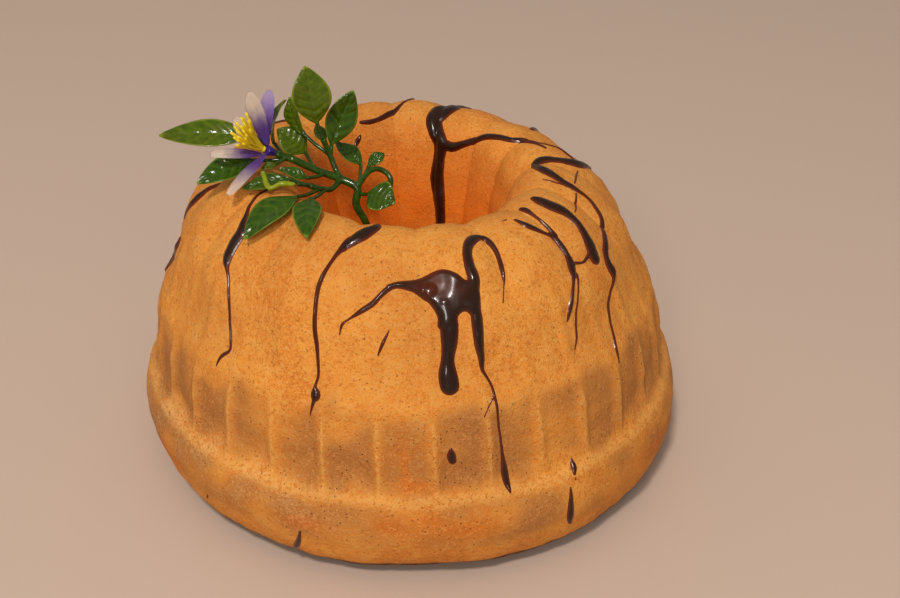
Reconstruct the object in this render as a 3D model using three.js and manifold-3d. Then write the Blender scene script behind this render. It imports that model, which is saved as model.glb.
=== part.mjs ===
// A ring cake baked in a fluted tin, turned out and left uncut, with dark chocolate drizzled over
// it and an artificial sprig of leaves with one flower standing in the hole.
// Millimetres, +Z up. The origin is at the centre of the base. The picture is taken from -Y.
import * as THREE from "three";
import { mergeVertices } from "three/addons/utils/BufferGeometryUtils.js";
import Module from "manifold-3d";

// Driving dimensions of the cake
const BASE_RADIUS = 93;
const BAND_RADIUS = 114.5;
const LEDGE_HEIGHT = 39;
const TIER_RADIUS = 108;
const SHOULDER_HEIGHT = 74;
const CROWN_HEIGHT = 100;
const CREST_RADIUS = 57;
const CREST_HEIGHT = 125.5;
const MOUTH_RADIUS = 44.5;
const THROAT_RADIUS = 22;
const FLUTES = 32;
const LOBES = 16;
const FIRST_FLUTE = 5;
const LOBE_POWER = 0.75;
const FLUTE_EDGE = 0.35;
const FLUTE_POWER = 1.5;
const AXIS_SHIFT = 1.1;
const LEAN = -5;
const CROWN_TILT = 2;
const CROWN_TILT_HEADING = 20;
const TILT_FROM = 60;

// Driving dimensions of the chocolate and the sprig
const DRIZZLE_DEPTH = 1.4;
const DRIZZLE_EDGE_DEPTH = 0.6;
const DRIZZLE_LEAST_HEIGHT = 0.45;
const DRIZZLE_HEIGHT_PER_HALF_WIDTH = 0.34;
const DRIZZLE_MOST_HEIGHT = 2;
const LEAF_THICKNESS = 0.8;
const FOLD = 0.14;
const LEAF_TIP = 0.5;
const LEAF_WAVE = 0.35;
const BROAD_LEAF = 9;
const PETAL_FOOT = 0.6;
const PETAL_WAVE = 0.15;
const WAVES = 9;
const WAVE_SKEW = 2;
const PETAL_THICKNESS = 0.8;
const STEM_RADIUS = 1.6;
const SHOOT_RADIUS = 1.1;
const TWIG_RADIUS = 0.8;
const GAP = 0.4;
const LEAF_GAP = 1;

const CREAM_CRUST = { color: 0xdc8c38, roughness: 0.85, metalness: 0 };
const LEAF_GREEN = { color: 0x3f5c12, roughness: 0.35, metalness: 0 };
const STEM_GREEN = { color: 0x2f5a1c, roughness: 0.4, metalness: 0 };
const PETAL_WHITE = { color: 0xd8cfe0, roughness: 0.5, metalness: 0 };
const VIOLET = { color: 0x5a3c9a, roughness: 0.5, metalness: 0 };
const YELLOW = { color: 0xd8b418, roughness: 0.5, metalness: 0 };
const BUD_GREEN = { color: 0x9aa426, roughness: 0.45, metalness: 0 };

// Section of the cake, from the middle of the base up the outside, over the crown and down the
// hole: radius, height, depth of the crown's lobes there, depth of the flutes there
const SECTION = [
  [THROAT_RADIUS, 0, 0, 0],
  [BASE_RADIUS, 0, 0, 0],
  [102.5, 2.2, 0, 0],
  [109.5, 8, 0, 0],
  [113.2, 16, 0, 0],
  [BAND_RADIUS, 27, 0, 0],
  [113.3, 34, 0, 0],
  [111.4, LEDGE_HEIGHT, 0, 0.1],
  [108.8, 42, 0, 0.4],
  [TIER_RADIUS, 47, 0, 1.6],
  [107, 58, 0, 1.8],
  [105, 68, 0, 1.2],
  [103, SHOULDER_HEIGHT, 0.3, 0.3],
  [100, 79, 0.5, 0.5],
  [95.5, 89.5, 0.9, 0.9],
  [91.5, CROWN_HEIGHT, 1.7, 0.6],
  [84.5, 110, 2.3, 0.2],
  [76, 118, 2.3, 0],
  [66.5, 123.5, 1.9, 0],
  [CREST_RADIUS, CREST_HEIGHT, 1.5, 0],
  [50.5, 123.5, 1.6, 0],
  [MOUTH_RADIUS, 117.5, 1.8, 0],
  [41, 106, 1.8, 0],
  [37, 88, 1.5, 0],
  [32, 62, 1.2, 0],
  [26.5, 29, 0.8, 0],
  [23, 6, 0.3, 0],
  [THROAT_RADIUS, 0, 0, 0],
];
const LEDGE_ROW = SECTION.findIndex((row) => row[1] === LEDGE_HEIGHT);
const SHOULDER_ROW = SECTION.findIndex((row) => row[1] === CROWN_HEIGHT);
const CREST_ROW = SECTION.findIndex((row) => row[1] === CREST_HEIGHT);
const MOUTH_ROW = SECTION.findIndex((row) => row[0] === MOUTH_RADIUS);
const LAST_ROW = SECTION.length - 1;

const rad = THREE.MathUtils.degToRad;
const clamp = THREE.MathUtils.clamp;
const vec = (x, y, z) => new THREE.Vector3(x, y, z);

// Distance of each section point from the crest, along the crust: plus outwards, minus inwards
const ALONG = SECTION.map(() => 0);
for (let i = 1; i <= LAST_ROW; i++) {
  const [r0, z0] = SECTION[i - 1];
  const [r1, z1] = SECTION[i];
  ALONG[i] = ALONG[i - 1] - Math.hypot(r1 - r0, z1 - z0);
}
const CREST_ALONG = ALONG[CREST_ROW];
ALONG.forEach((value, i) => (ALONG[i] = value - CREST_ALONG));

// One column of the section at a distance along it, as a smooth curve through its points
function smooth(column, along) {
  let i = 1;
  while (i < LAST_ROW - 1 && along < ALONG[i + 1]) i++;
  const slope = (k) => (SECTION[k + 1][column] - SECTION[k][column]) / (ALONG[k + 1] - ALONG[k]);
  const tangent = (k) => {
    if (k <= 1 || k >= LAST_ROW) return slope(Math.min(k, LAST_ROW - 1));
    const before = ALONG[k] - ALONG[k - 1];
    const after = ALONG[k + 1] - ALONG[k];
    return (slope(k - 1) * after + slope(k) * before) / (before + after);
  };
  const step = ALONG[i + 1] - ALONG[i];
  const t = clamp((along - ALONG[i]) / step, 0, 1);
  const [a, b] = [SECTION[i][column], SECTION[i + 1][column]];
  const ease = t * t * (3 - 2 * t);
  const lead = t * (1 - t) * (1 - t) * step * tangent(i);
  const trail = t * t * (1 - t) * step * tangent(i + 1);
  return a + (b - a) * ease + lead - trail;
}

// A point on the crust: angle in degrees from the front (-Y) towards +X, distance along the
// section from the crest, and height above the crust
function onCrust(angle, along, lift = 0) {
  const [r, z, lobe, flute] = [0, 1, 2, 3].map((column) => smooth(column, along));
  const dr = smooth(0, along + 0.5) - smooth(0, along - 0.5);
  const dz = smooth(1, along + 0.5) - smooth(1, along - 0.5);
  const size = Math.hypot(dr, dz) || 1;
  const fromValley = Math.abs(Math.sin(rad(((angle - FIRST_FLUTE) * LOBES) / 2)));
  const turn = (((angle - FIRST_FLUTE) * FLUTES) / 360 + 0.5) % 1;
  const fromRidge = Math.abs(((turn + 1) % 1) - 0.5) * 2;
  const lobes = lobe * (1 - fromValley ** LOBE_POWER);
  const flutes = flute * clamp(fromRidge / FLUTE_EDGE, 0, 1) ** FLUTE_POWER;
  const out = lift - lobes - flutes;
  return place(angle, r - (dz / size) * out, z + (dr / size) * out);
}

// The cake leans a little to one side, and its crown stands higher there
function place(angle, r, z) {
  const high = clamp((z - TILT_FROM) / (CREST_HEIGHT - TILT_FROM), 0, 1) ** 2;
  const top = z - high * CROWN_TILT * Math.sin(rad(angle + CROWN_TILT_HEADING));
  const x = r * Math.sin(rad(angle)) + AXIS_SHIFT + (LEAN * top) / CREST_HEIGHT;
  return vec(x, -r * Math.cos(rad(angle)), top);
}

// A mesh from points and triangles
function meshOf(points, triangles) {
  const geometry = new THREE.BufferGeometry();
  const flat = points.flatMap((p) => [p.x, p.y, p.z]);
  geometry.setAttribute("position", new THREE.Float32BufferAttribute(flat, 3));
  geometry.setIndex(triangles.flat());
  return geometry;
}

// Triangles between two closed rings of points, the second with as many, half or double as many
function band(a, countA, b, countB) {
  const out = [];
  if (countA === countB) {
    for (let k = 0; k < countA; k++) {
      const n = (k + 1) % countA;
      out.push([a + k, b + k, b + n], [a + k, b + n, a + n]);
    }
  } else if (countA > countB) {
    for (let k = 0; k < countB; k++) {
      const [p, q, s] = [a + 2 * k, a + 2 * k + 1, a + ((2 * k + 2) % countA)];
      const [u, w] = [b + k, b + ((k + 1) % countB)];
      out.push([p, u, q], [q, u, w], [q, w, s]);
    }
  } else {
    for (let k = 0; k < countA; k++) {
      const [p, q] = [a + k, a + ((k + 1) % countA)];
      const [u, v, w] = [b + 2 * k, b + 2 * k + 1, b + ((2 * k + 2) % countB)];
      out.push([p, u, v], [p, v, q], [q, v, w]);
    }
  }
  return out;
}

const asSolid = (wasm, geometry) => {
  geometry.deleteAttribute("normal");
  geometry.deleteAttribute("uv");
  const merged = mergeVertices(geometry, 1e-4);
  const vertProperties = new Float32Array(merged.attributes.position.array);
  const triVerts = new Uint32Array(merged.index.array);
  return new wasm.Manifold(new wasm.Mesh({ numProp: 3, vertProperties, triVerts }));
};

const asGeometry = (solid) => {
  const mesh = solid.getMesh();
  const geometry = new THREE.BufferGeometry();
  geometry.setAttribute("position", new THREE.BufferAttribute(mesh.vertProperties, 3));
  geometry.setIndex(new THREE.BufferAttribute(mesh.triVerts, 1));
  return geometry;
};

// The cake's body: rings of the section. The fluted tiers have four columns a flute, at the ridge,
// at both edges of the hollow and at its middle, and the rest has two.
const FLUTE_COLUMNS = [0, 0.16, 0.5, 0.84];
const PLAIN_COLUMNS = [0, 0.5];

function cakeBody() {
  const rows = [];
  for (let i = 1; i < LEDGE_ROW; i++) rows.push([ALONG[i], PLAIN_COLUMNS]);
  for (let i = LEDGE_ROW; i <= SHOULDER_ROW; i++) rows.push([ALONG[i], FLUTE_COLUMNS]);
  for (let i = SHOULDER_ROW; i < MOUTH_ROW + 2; i++) {
    rows.push([(ALONG[i] + ALONG[i + 1]) / 2, PLAIN_COLUMNS], [ALONG[i + 1], PLAIN_COLUMNS]);
  }
  for (let i = MOUTH_ROW + 3; i <= LAST_ROW; i++) rows.push([ALONG[i], PLAIN_COLUMNS]);
  const points = [];
  const rings = rows.map(([along, offsets]) => {
    const start = points.length;
    for (let k = 0; k < FLUTES; k++) {
      offsets.forEach((o) => points.push(onCrust(FIRST_FLUTE + ((k + o) * 360) / FLUTES, along)));
    }
    return [start, FLUTES * offsets.length];
  });
  const triangles = [];
  rings.forEach(([a, countA], i) => {
    const [b, countB] = rings[(i + 1) % rings.length];
    triangles.push(...band(a, countA, b, countB).map(([p, q, s]) => [p, s, q]));
  });
  return meshOf(points, triangles);
}

// Chocolate as it ran: each strip is a list of angle, distance from the crest along the crust,
// and half width
const DRIZZLE = [
  // Left, with a thick drop and a thin tail
  [[-63, -2, 0.6], [-62, 5, 0.8], [-59, 12, 1], [-55.5, 17, 1.6], [-52.8, 22, 2.8], [-52.5, 28, 3.8],
    [-52, 32.5, 3.2], [-50.5, 36, 1.2], [-48.5, 40, 0.8], [-46.5, 46, 0.8], [-45, 54, 0.7],
    [-43, 62, 0.8], [-43, 65, 0.9], [-44.8, 68.5, 0.9], [-45.2, 72.5, 0.5]],
  // Left of the middle, from the rim of the hole
  [[-9.5, -2.5, 1.4], [-11, 1, 2.8], [-13.5, 5, 3.3], [-16.5, 9, 2.4], [-18.6, 13, 1.4], [-20, 18, 1],
    [-21.3, 25, 1], [-21.8, 31, 1], [-21.3, 39, 1], [-20.9, 46, 0.9], [-20, 54, 0.8], [-19.3, 62, 0.8],
    [-19.7, 66.5, 1], [-19.3, 69.5, 1.8], [-19.5, 72.3, 0.9]],
  // The pool in front, its arm to the left, its two drips and the loop above it
  [[10.6, 19.6, 1.6], [10.6, 22, 5.8], [10.2, 25, 9], [11, 28.5, 9], [12.2, 32, 8.8], [12.8, 35.5, 8],
    [13, 37.8, 6]],
  [[-13.2, 39.8, 0.5], [-10.5, 36.5, 1], [-7.5, 33, 1.4], [-5.5, 29.5, 1.3], [-3.2, 26.5, 1.3],
    [-0.5, 25.2, 1.3], [3, 25.8, 2], [6.5, 28, 3.2]],
  [[10, 33, 3], [10.4, 38, 3.5], [10.4, 43, 3.1], [10, 49, 2.9], [9.4, 54, 3], [9.1, 59, 3.7],
    [9.2, 63, 4], [9.3, 66, 3], [9.4, 68, 1.2]],
  [[17.2, 33, 2.4], [17.2, 38, 2.3], [17, 44, 2.1], [16.8, 50, 2.1], [16.9, 55, 1.6], [16.7, 59, 0.9],
    [17.6, 62.5, 0.9], [18.4, 66.5, 0.9], [18.5, 73, 0.7], [18.6, 81, 0.7], [18.9, 89, 0.7],
    [19.1, 96, 0.9], [19.3, 101.5, 1.5], [19.4, 105, 1.2], [19.6, 109, 0.5]],
  [[17.5, 31, 2.2], [18.6, 26, 2.2], [18.7, 20, 2.1], [19.3, 15, 2.1], [21, 11, 2.1], [23.8, 8.2, 2.4],
    [26.5, 7.4, 2.2], [28.3, 9.5, 1.5], [29, 13.5, 1.2], [28.9, 18, 1.1], [28.2, 23, 1], [27.4, 27.5, 0.7]],
  // Right: two arms that meet in a drop, and their tails
  [[43.3, 5.5, 1], [44.8, 10, 1.7], [47.5, 14.5, 1.4], [50.3, 18, 1.3], [50.8, 23, 1.4], [50.6, 27.5, 1.7],
    [49.7, 31.5, 2.6], [48.7, 34.5, 2.3], [47, 37.5, 1.1], [44.5, 42, 1], [42.5, 46.5, 1.2], [40.7, 51, 0.6]],
  [[52, 0.5, 1.2], [52.2, 3, 1.5], [51.8, 8, 0.9], [51.8, 14, 1], [51.4, 19, 1.2]],
  [[49.8, 36.5, 0.7], [47.3, 41.5, 0.8], [45, 46.5, 0.7], [43.2, 53, 0.7], [41.8, 60, 0.7]],
  // Right: a thick one
  [[60.3, 1.5, 1.6], [60.6, 5, 3.5], [61.3, 9.5, 3.2], [62.6, 14, 2.8], [62, 20, 2.5], [60.8, 26, 2.8],
    [59.4, 31.5, 3.3], [58.4, 35.5, 3.4], [58, 39, 1.8]],
  [[51.6, 32.6, 0.9], [53.5, 33.8, 0.7], [55.5, 33.5, 0.8], [57.8, 32.6, 1]],
  // Far right: from the outer edge to the rim, back and down to a drop with a long tail
  [[106.5, 29, 1.2], [104, 23, 2.2], [101, 17, 2.6], [99.5, 10, 2.4], [98.3, 4, 2.4], [97, -1, 2.5],
    [94.5, -3.6, 2.4], [90, -2, 2.3], [86, 0.5, 2.5], [82.5, 4, 2.5], [80.5, 8, 2.1], [79.3, 12, 1.9],
    [78.8, 17, 1.4], [78.5, 21, 1.2], [76.8, 26, 1.3], [74.3, 30, 1.5], [71, 32.5, 1.5], [67, 35, 1.8],
    [63.9, 37.8, 2.2], [62.3, 41, 2.8], [62.3, 44.5, 3], [61.3, 47.5, 1.4], [59.3, 51, 1],
    [56.5, 54.5, 1], [54.8, 60, 1], [54, 66, 1], [52.4, 71, 1], [51.5, 76.5, 0.5]],
  // Down the far wall of the hole from behind the crown, with an arm to the right
  [[159, 9, 2.5], [161, 3, 4.2], [163.5, -3, 4.4], [165, -8, 3.8], [163, -13, 3.4], [159.5, -18.5, 3.2],
    [160, -26, 2.7], [160.5, -34, 2.6], [158.5, -43, 2.6], [157, -51, 2.4], [156.5, -59, 1.4]],
  [[158, -18, 2.4], [152, -18.5, 2.2], [146, -16, 1.8], [141, -13, 1.7], [135, -9.5, 1.9],
    [128, -7, 2.2], [122, -4.5, 1.9], [117.5, -1, 1.3], [112, 3, 1.2], [107, 5, 0.8]],
  [[121, -4, 1], [117, 4, 1], [113, 10, 0.9], [108, 15, 1], [103, 18, 0.8]],
  // Behind the sprig, on the far rim
  [[178, 9, 0.7], [181, 2, 1], [184, -3, 1.3], [188, -6.5, 1.4], [193, -9, 1.4], [198, -10, 1.3],
    [202.5, -9.5, 1]],
  [[209, -20.3, 0.8], [207, -17.5, 1.2], [204.8, -15, 0.6]],
  // On the left outline
  [[-85, 20, 0.7], [-87, 28, 1.6], [-88, 35, 1.8], [-89.5, 41, 1.3], [-91, 47, 0.6]],
  [[-84, 50, 0.9], [-85.5, 55, 1.9], [-88, 61, 2.2], [-89.5, 67, 1.9], [-90.5, 73, 0.9]],
  // Separate drops on the front
  [[8.4, 88, 0.6], [8.4, 91, 1.3], [8.6, 93.4, 1.2]],
  [[34.5, 104.5, 0.6], [34.3, 107.5, 1.4], [33.8, 110, 0.8]],
  [[32.2, 114.5, 0.6], [31.9, 121, 1.5], [31.9, 127, 1.6], [32.1, 131, 1]],
  [[-21.7, 127, 0.7], [-22.6, 133, 1.2], [-24.2, 139.5, 1.2]],
];

// On the side away from the picture: guessed, in the same hand
const DRIZZLE_BEHIND = [
  [[159, 9, 2.5], [157, 16, 2], [156, 25, 1.8], [157, 34, 1.7], [158, 43, 2.6], [158, 48, 2.8],
    [157.5, 52, 1.3], [157, 60, 0.8], [156, 68, 0.6]],
  [[178, 9, 0.7], [176.5, 17, 1.2], [177, 26, 1.2], [178.5, 36, 1], [179, 46, 1], [178.5, 53, 1.8],
    [178.4, 57, 1]],
  [[-128, 6, 1], [-127, 14, 2.2], [-128.5, 22, 2.6], [-131, 30, 2.6], [-132, 38, 3.2], [-131.5, 43, 3],
    [-131, 48, 1.2], [-130, 58, 0.8], [-129.5, 68, 0.6]],
  [[128, 14, 1.3], [131, 20, 2], [132.5, 28, 1.5], [132, 38, 1.2], [131, 50, 1.1], [131.5, 62, 1],
    [131, 72, 1.7], [130.8, 76, 0.9]],
];

// One strip: an arch over the crust whose edges and foot lie inside it, plainer where it is thin
const BROAD_ARCH = [[-1, -1], [-0.62, 0.7], [0, 1], [0.62, 0.7], [1, -1]];
const THIN_ARCH = [[-1.1, -1], [0, 1], [1.1, -1]];
const THIN_HALF_WIDTH = 2;

function strip(route) {
  const arch = Math.max(...route.map((stop) => stop[2])) > THIN_HALF_WIDTH ? BROAD_ARCH : THIN_ARCH;
  const perDegree = (along) => smooth(0, along) * rad(1);
  const last = route.length - 1;
  const points = route.flatMap(([angle, along, half], i) => {
    const before = route[Math.max(i - 1, 0)];
    const after = route[Math.min(i + 1, last)];
    const east = (after[0] - before[0]) * perDegree(along);
    const south = after[1] - before[1];
    const size = Math.hypot(east, south);
    const rise = DRIZZLE_LEAST_HEIGHT + half * DRIZZLE_HEIGHT_PER_HALF_WIDTH;
    const height = Math.min(rise, DRIZZLE_MOST_HEIGHT);
    const over = arch.map(([across, up]) => {
      const turn = (across * half * south) / size / perDegree(along);
      const slide = (-across * half * east) / size;
      return onCrust(angle - turn, along - slide, up * (up < 0 ? DRIZZLE_EDGE_DEPTH : height));
    });
    return [...over, onCrust(angle, along, -DRIZZLE_DEPTH)];
  });
  const ring = arch.length + 1;
  const triangles = [];
  for (let i = 0; i < last; i++) triangles.push(...band((i + 1) * ring, ring, i * ring, ring));
  for (let k = 1; k < ring - 1; k++) {
    triangles.push([0, k + 1, k], [last * ring, last * ring + k, last * ring + k + 1]);
  }
  return meshOf(points, triangles);
}

// A thin blade between two points: a lens-shaped section, folded a little along its midrib, with
// wavy edges. outline gives its half width, and lift its height along the face, from foot to tip.
function blade({ foot, tip, face, gap, outline, lift, thickness, stations, wave }) {
  const axis = vec(...tip).sub(vec(...foot));
  const length = axis.length();
  axis.normalize();
  const across = vec(...face).cross(axis).normalize();
  const normal = axis.clone().cross(across).normalize();
  const columns = [-1, -0.5, 0, 0.5, 1];
  const points = [];
  for (let i = 0; i < stations; i++) {
    const t = i / (stations - 1);
    const half = outline(t);
    const row = (v, side) => {
      const ripple = wave * Math.sin(WAVES * t + WAVE_SKEW * v) * Math.abs(v);
      const body = (side * thickness * (1 - v * v)) / 2;
      return vec(...foot)
        .addScaledVector(axis, gap + t * (length - gap))
        .addScaledVector(across, v * half)
        .addScaledVector(normal, lift(t) + FOLD * Math.abs(v) * half + ripple + body);
    };
    columns.forEach((v) => points.push(row(v, 1)));
    [0.5, 0, -0.5].forEach((v) => points.push(row(v, -1)));
  }
  const ring = columns.length + 3;
  const triangles = [];
  for (let i = 0; i < stations - 1; i++) {
    triangles.push(...band(i * ring, ring, (i + 1) * ring, ring));
  }
  const end = (stations - 1) * ring;
  const cap = [[0, 7, 1], [1, 7, 6], [1, 6, 2], [2, 6, 5], [2, 5, 3], [3, 5, 4]];
  cap.forEach(([a, b, c]) => triangles.push([a, c, b], [end + a, end + b, end + c]));
  return meshOf(points, triangles);
}

// A leaf: pointed at both ends, widest a little below its middle, arched by its bend
function leafBlade([, , foot, tip, face, width, bend]) {
  const outline = (t) => LEAF_TIP + (width / 2 - LEAF_TIP) * Math.sin(Math.PI * t ** 0.9);
  const lift = (t) => 4 * bend * t * (1 - t);
  const stations = width > BROAD_LEAF ? 7 : 6;
  const make = { gap: LEAF_GAP, thickness: LEAF_THICKNESS, stations, wave: LEAF_WAVE };
  return blade({ foot, tip, face, outline, lift, ...make });
}

// A petal: narrow at its foot, rounded at its tip, and curled back there
function petalBlade(foot, tip, face, width, curl) {
  const swell = (t) => Math.sqrt(Math.sin(Math.PI * Math.min(t ** 1.3, 0.98)));
  const outline = (t) => PETAL_FOOT + (width / 2 - PETAL_FOOT) * swell(t);
  const lift = (t) => -curl * t * t;
  const make = { gap: GAP, thickness: PETAL_THICKNESS, stations: 6, wave: PETAL_WAVE };
  return blade({ foot, tip, face, outline, lift, ...make });
}

// A rod of an even number of sides along a smooth curve
function rod(stops, radius, steps, sides) {
  const section = new THREE.Shape();
  section.absarc(0, 0, radius, 0, 2 * Math.PI, false);
  const extrudePath = new THREE.CatmullRomCurve3(stops.map((stop) => vec(...stop)));
  const options = { steps, extrudePath, curveSegments: sides / 2, bevelEnabled: false };
  return new THREE.ExtrudeGeometry(section, options);
}

// The stem: up from the base through the hole, out over the rim, and its side shoots
const MAIN_STEM = [
  [-14, -3, 0.5], [-14, -4, 20], [-16, -10, 60], [-17, -17, 96], [-18.5, -19, 107], [-22.5, -18, 115],
  [-22, -15.5, 121], [-28.5, -13, 123.7], [-38.5, -12, 127.3], [-47.5, -11.5, 131.6], [-51.2, -9.4, 131.5],
  [-54.1, -10.5, 133.4],
];
const TENDRIL = [
  [-22.5, -15.5, 121.5], [-17, -10, 126], [-12.5, -8, 125.5], [-9, -10, 122.8], [-9.5, -14, 119],
];
const FRONT_SHOOT = [[-28.5, -13, 123.7], [-32, -20, 122.8], [-36, -25, 125.5], [-40, -28, 128.3]];
const TOP_SHOOT = [[-29, -13, 124], [-31, -10, 127.5], [-33, -8, 132], [-35.5, -8, 139]];

// Leaves: name, where the twig starts on the stem, foot, tip, the way the face looks, width, bend
const LEAVES = [
  ["leaf_a", [-49.5, -9.5, 131], [-62, 1, 136], [-102, 4, 134.5], [0, -0.6, 0.8], 12.5, 1.5],
  ["leaf_b", [-50, -10, 131.2], [-62, -10, 131.2], [-84, -22, 126], [-0.2, -0.6, 0.75], 11.5, 1.5],
  ["leaf_c", [-49.5, -9.5, 131], [-56, 0, 131.5], [-51, 6, 149.5], [-0.9, -0.3, 0.2], 8, 2.5],
  ["leaf_d", [-35.5, -8, 139], [-37.5, -8, 144.5], [-41.5, -6, 168.5], [0.1, -0.95, 0.3], 15.5, 1.2],
  ["leaf_e", [-33, -8, 132], [-43.8, -3, 138], [-49, 4, 151.5], [-0.7, -0.6, 0.3], 9, 1.5],
  ["leaf_f", [-32.5, -8, 130.5], [-33, -5.5, 134], [-23.5, 0, 156], [0.3, -0.9, 0.3], 12.5, -1],
  ["leaf_g", [-39, -11.5, 128], [-42, -2, 129.5], [-54, 0, 139.5], [0.3, -0.8, 0.5], 12, 1.2],
  ["leaf_h", [-21.5, -14, 121.5], [-20, 2, 122], [-31.5, 10, 129], [0.2, -0.5, 0.85], 8, 1],
  ["leaf_i", [-20, -13.5, 124], [-18.5, -9, 127], [-11.5, -4, 131], [-0.4, -0.8, 0.4], 5.5, 0.8],
  ["leaf_j", [-22, -16.3, 119.2], [-18.5, -20.5, 121.5], [-7, -28, 120.5], [0.1, -0.7, 0.7], 13.5, 1.5],
  ["leaf_k", [-36, -25, 125.5], [-43.3, -37, 128.8], [-62.5, -56, 119.8], [-0.2, -0.3, 0.9], 13.5, 2.6],
  ["leaf_l", [-34, -22.5, 124], [-39.3, -37, 127.6], [-38.8, -64, 124.8], [-0.05, -0.25, 0.97], 11, 2.6],
  ["leaf_m", [-40, -28, 128.3], [-46, -27, 131], [-65.5, -30, 127.8], [0, -0.5, 0.85], 7, 1],
  ["leaf_n", [-35, -13, 126], [-40, -20, 127], [-52, -19.5, 131.3], [0, -0.5, 0.85], 5, 0.6],
  ["leaf_o", [-33, -8, 132], [-34.5, -3, 134.5], [-39, 3, 140], [0.2, -0.9, 0.3], 5, 0.5],
  ["sepal", [-50, -12, 132.5], [-53, -15, 131.6], [-59, -19, 130.6], [-0.2, -0.6, 0.75], 3.6, 0.4],
];

// The flower faces left, towards the picture and up. Each petal has its name, the turn of its foot
// round the cup in degrees, its tip, width, curl and finish.
const FLOWER_AT = vec(-57.5, -12.5, 136);
const FLOWER_AXIS = vec(-0.72, -0.44, 0.54).normalize();
const CUP_RADIUS = 2;
const CUP_LENGTH = 4;
const PETALS = [
  ["petal_up", -15, [-63, -12, 160.5], 8, 1, PETAL_WHITE],
  ["petal_right", 52, [-57.5, 4, 154.5], 7, 1, VIOLET],
  ["petal_back", 115, [-71, -1, 144], 7, 0.5, PETAL_WHITE],
  ["petal_left", 180, [-78, -20, 138], 6.5, 0.8, PETAL_WHITE],
  ["petal_down", 240, [-70.3, -36, 128.3], 6.5, 0.5, PETAL_WHITE],
];
const CUP_SIDES = 10;
const STAMENS = 9;
const STAMEN_LENGTH = 14;
const STAMEN_SPREAD = 5.5;
const INNER_SPREAD = 3.3;
const STAMEN_RADIUS = 0.6;
const KNOB_RADIUS = 1.1;
const BUD_TWIG = [[-39, -27, 127.8], [-44, -33, 131.2]];
const BUD = [[-44.8, -33.7, 131.5], [-50, -34.7, 132.2], [-54.6, -35, 130.8], [-57, -33.5, 137]];

// A point of the flower: distance along its axis, distance out from it, and turn around it
function flowerPoint(along, out, turn) {
  const up = vec(0, 0, 1).addScaledVector(FLOWER_AXIS, -FLOWER_AXIS.z).normalize();
  const side = FLOWER_AXIS.clone().cross(up);
  return FLOWER_AT.clone()
    .addScaledVector(FLOWER_AXIS, along)
    .addScaledVector(up, out * Math.cos(turn))
    .addScaledVector(side, out * Math.sin(turn));
}

// The cup that holds the petals, a short cone round the axis
function cup() {
  const cone = new THREE.CylinderGeometry(CUP_RADIUS, 1, CUP_LENGTH, CUP_SIDES);
  const turn = new THREE.Quaternion().setFromUnitVectors(vec(0, 1, 0), FLOWER_AXIS);
  const middle = flowerPoint(-CUP_LENGTH / 2, 0, 0);
  return cone.applyQuaternion(turn).translate(middle.x, middle.y, middle.z);
}

// A petal from the cup's rim to its tip, its face towards the flower's axis
function petal([, turn, tip, width, curl]) {
  const foot = flowerPoint(GAP, CUP_RADIUS, rad(turn)).toArray();
  return petalBlade(foot, tip, FLOWER_AXIS.toArray(), width, curl);
}

// The stamens spread from a small knob, fewer of them on the side towards the picture
function stamens() {
  const knob = new THREE.SphereGeometry(KNOB_RADIUS, 6, 4);
  const at = flowerPoint(KNOB_RADIUS + GAP, 0, 0);
  const rays = [...Array(STAMENS).keys()].map((k) => {
    const spread = k === 0 ? 0 : k % 2 ? STAMEN_SPREAD : INNER_SPREAD;
    const tip = flowerPoint(STAMEN_LENGTH - (k % 3), spread, (k * 2 * Math.PI) / (STAMENS - 1));
    return rod([at.toArray(), tip.toArray()], STAMEN_RADIUS, 1, 4);
  });
  return [knob.translate(at.x, at.y, at.z), ...rays];
}

const wasm = await Module();
wasm.setup();

// Several shapes as one body, with any bubble between them filled
function join(shapes) {
  const together = shapes.map((shape) => asSolid(wasm, shape)).reduce((a, b) => a.add(b));
  const bodies = together.decompose().filter((body) => body.volume() > 0);
  return asGeometry(bodies.reduce((a, b) => a.add(b)));
}

const part = new THREE.Group();
const add = (name, geometry, finish) => {
  const mesh = new THREE.Mesh(geometry, new THREE.MeshStandardMaterial(finish));
  mesh.name = name;
  part.add(mesh);
};

// The cake with its chocolate
add("cake", join([cakeBody(), ...[...DRIZZLE, ...DRIZZLE_BEHIND].map(strip)]), CREAM_CRUST);

// The sprig
const shoots = [TENDRIL, FRONT_SHOOT, TOP_SHOOT].map((stops) => rod(stops, SHOOT_RADIUS, 5, 6));
const twigs = LEAVES.map(([, root, foot]) => rod([root, foot], TWIG_RADIUS, 1, 4));
twigs.push(rod(BUD_TWIG, TWIG_RADIUS, 1, 4));
add("stem", join([rod(MAIN_STEM, STEM_RADIUS, 18, 6), ...shoots, ...twigs]), STEM_GREEN);
for (const leaf of LEAVES) add(leaf[0], leafBlade(leaf), LEAF_GREEN);
add("bud", rod(BUD, SHOOT_RADIUS, 8, 6), BUD_GREEN);
add("flower_cup", cup(), VIOLET);
for (const each of PETALS) add(each[0], petal(each), each[5]);
add("stamens", join(stamens()), YELLOW);

export default part;
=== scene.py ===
# %% [markdown]
# # A bundt cake with chocolate and a sprig
# The cake was baked in a fluted ring tin, turned out and left uncut. Dark chocolate ran over it
# in drips and loops, and an artificial sprig with one flower stands in its hole.
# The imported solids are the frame. They could be coloured as they are, but they are too coarse for
# crumb, veins and thin chocolate. So every piece here is worked out with numpy in the same
# metres, laid over those solids, and given a finish made of shader nodes.

import bpy
import numpy as np
from mathutils import Matrix


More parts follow.
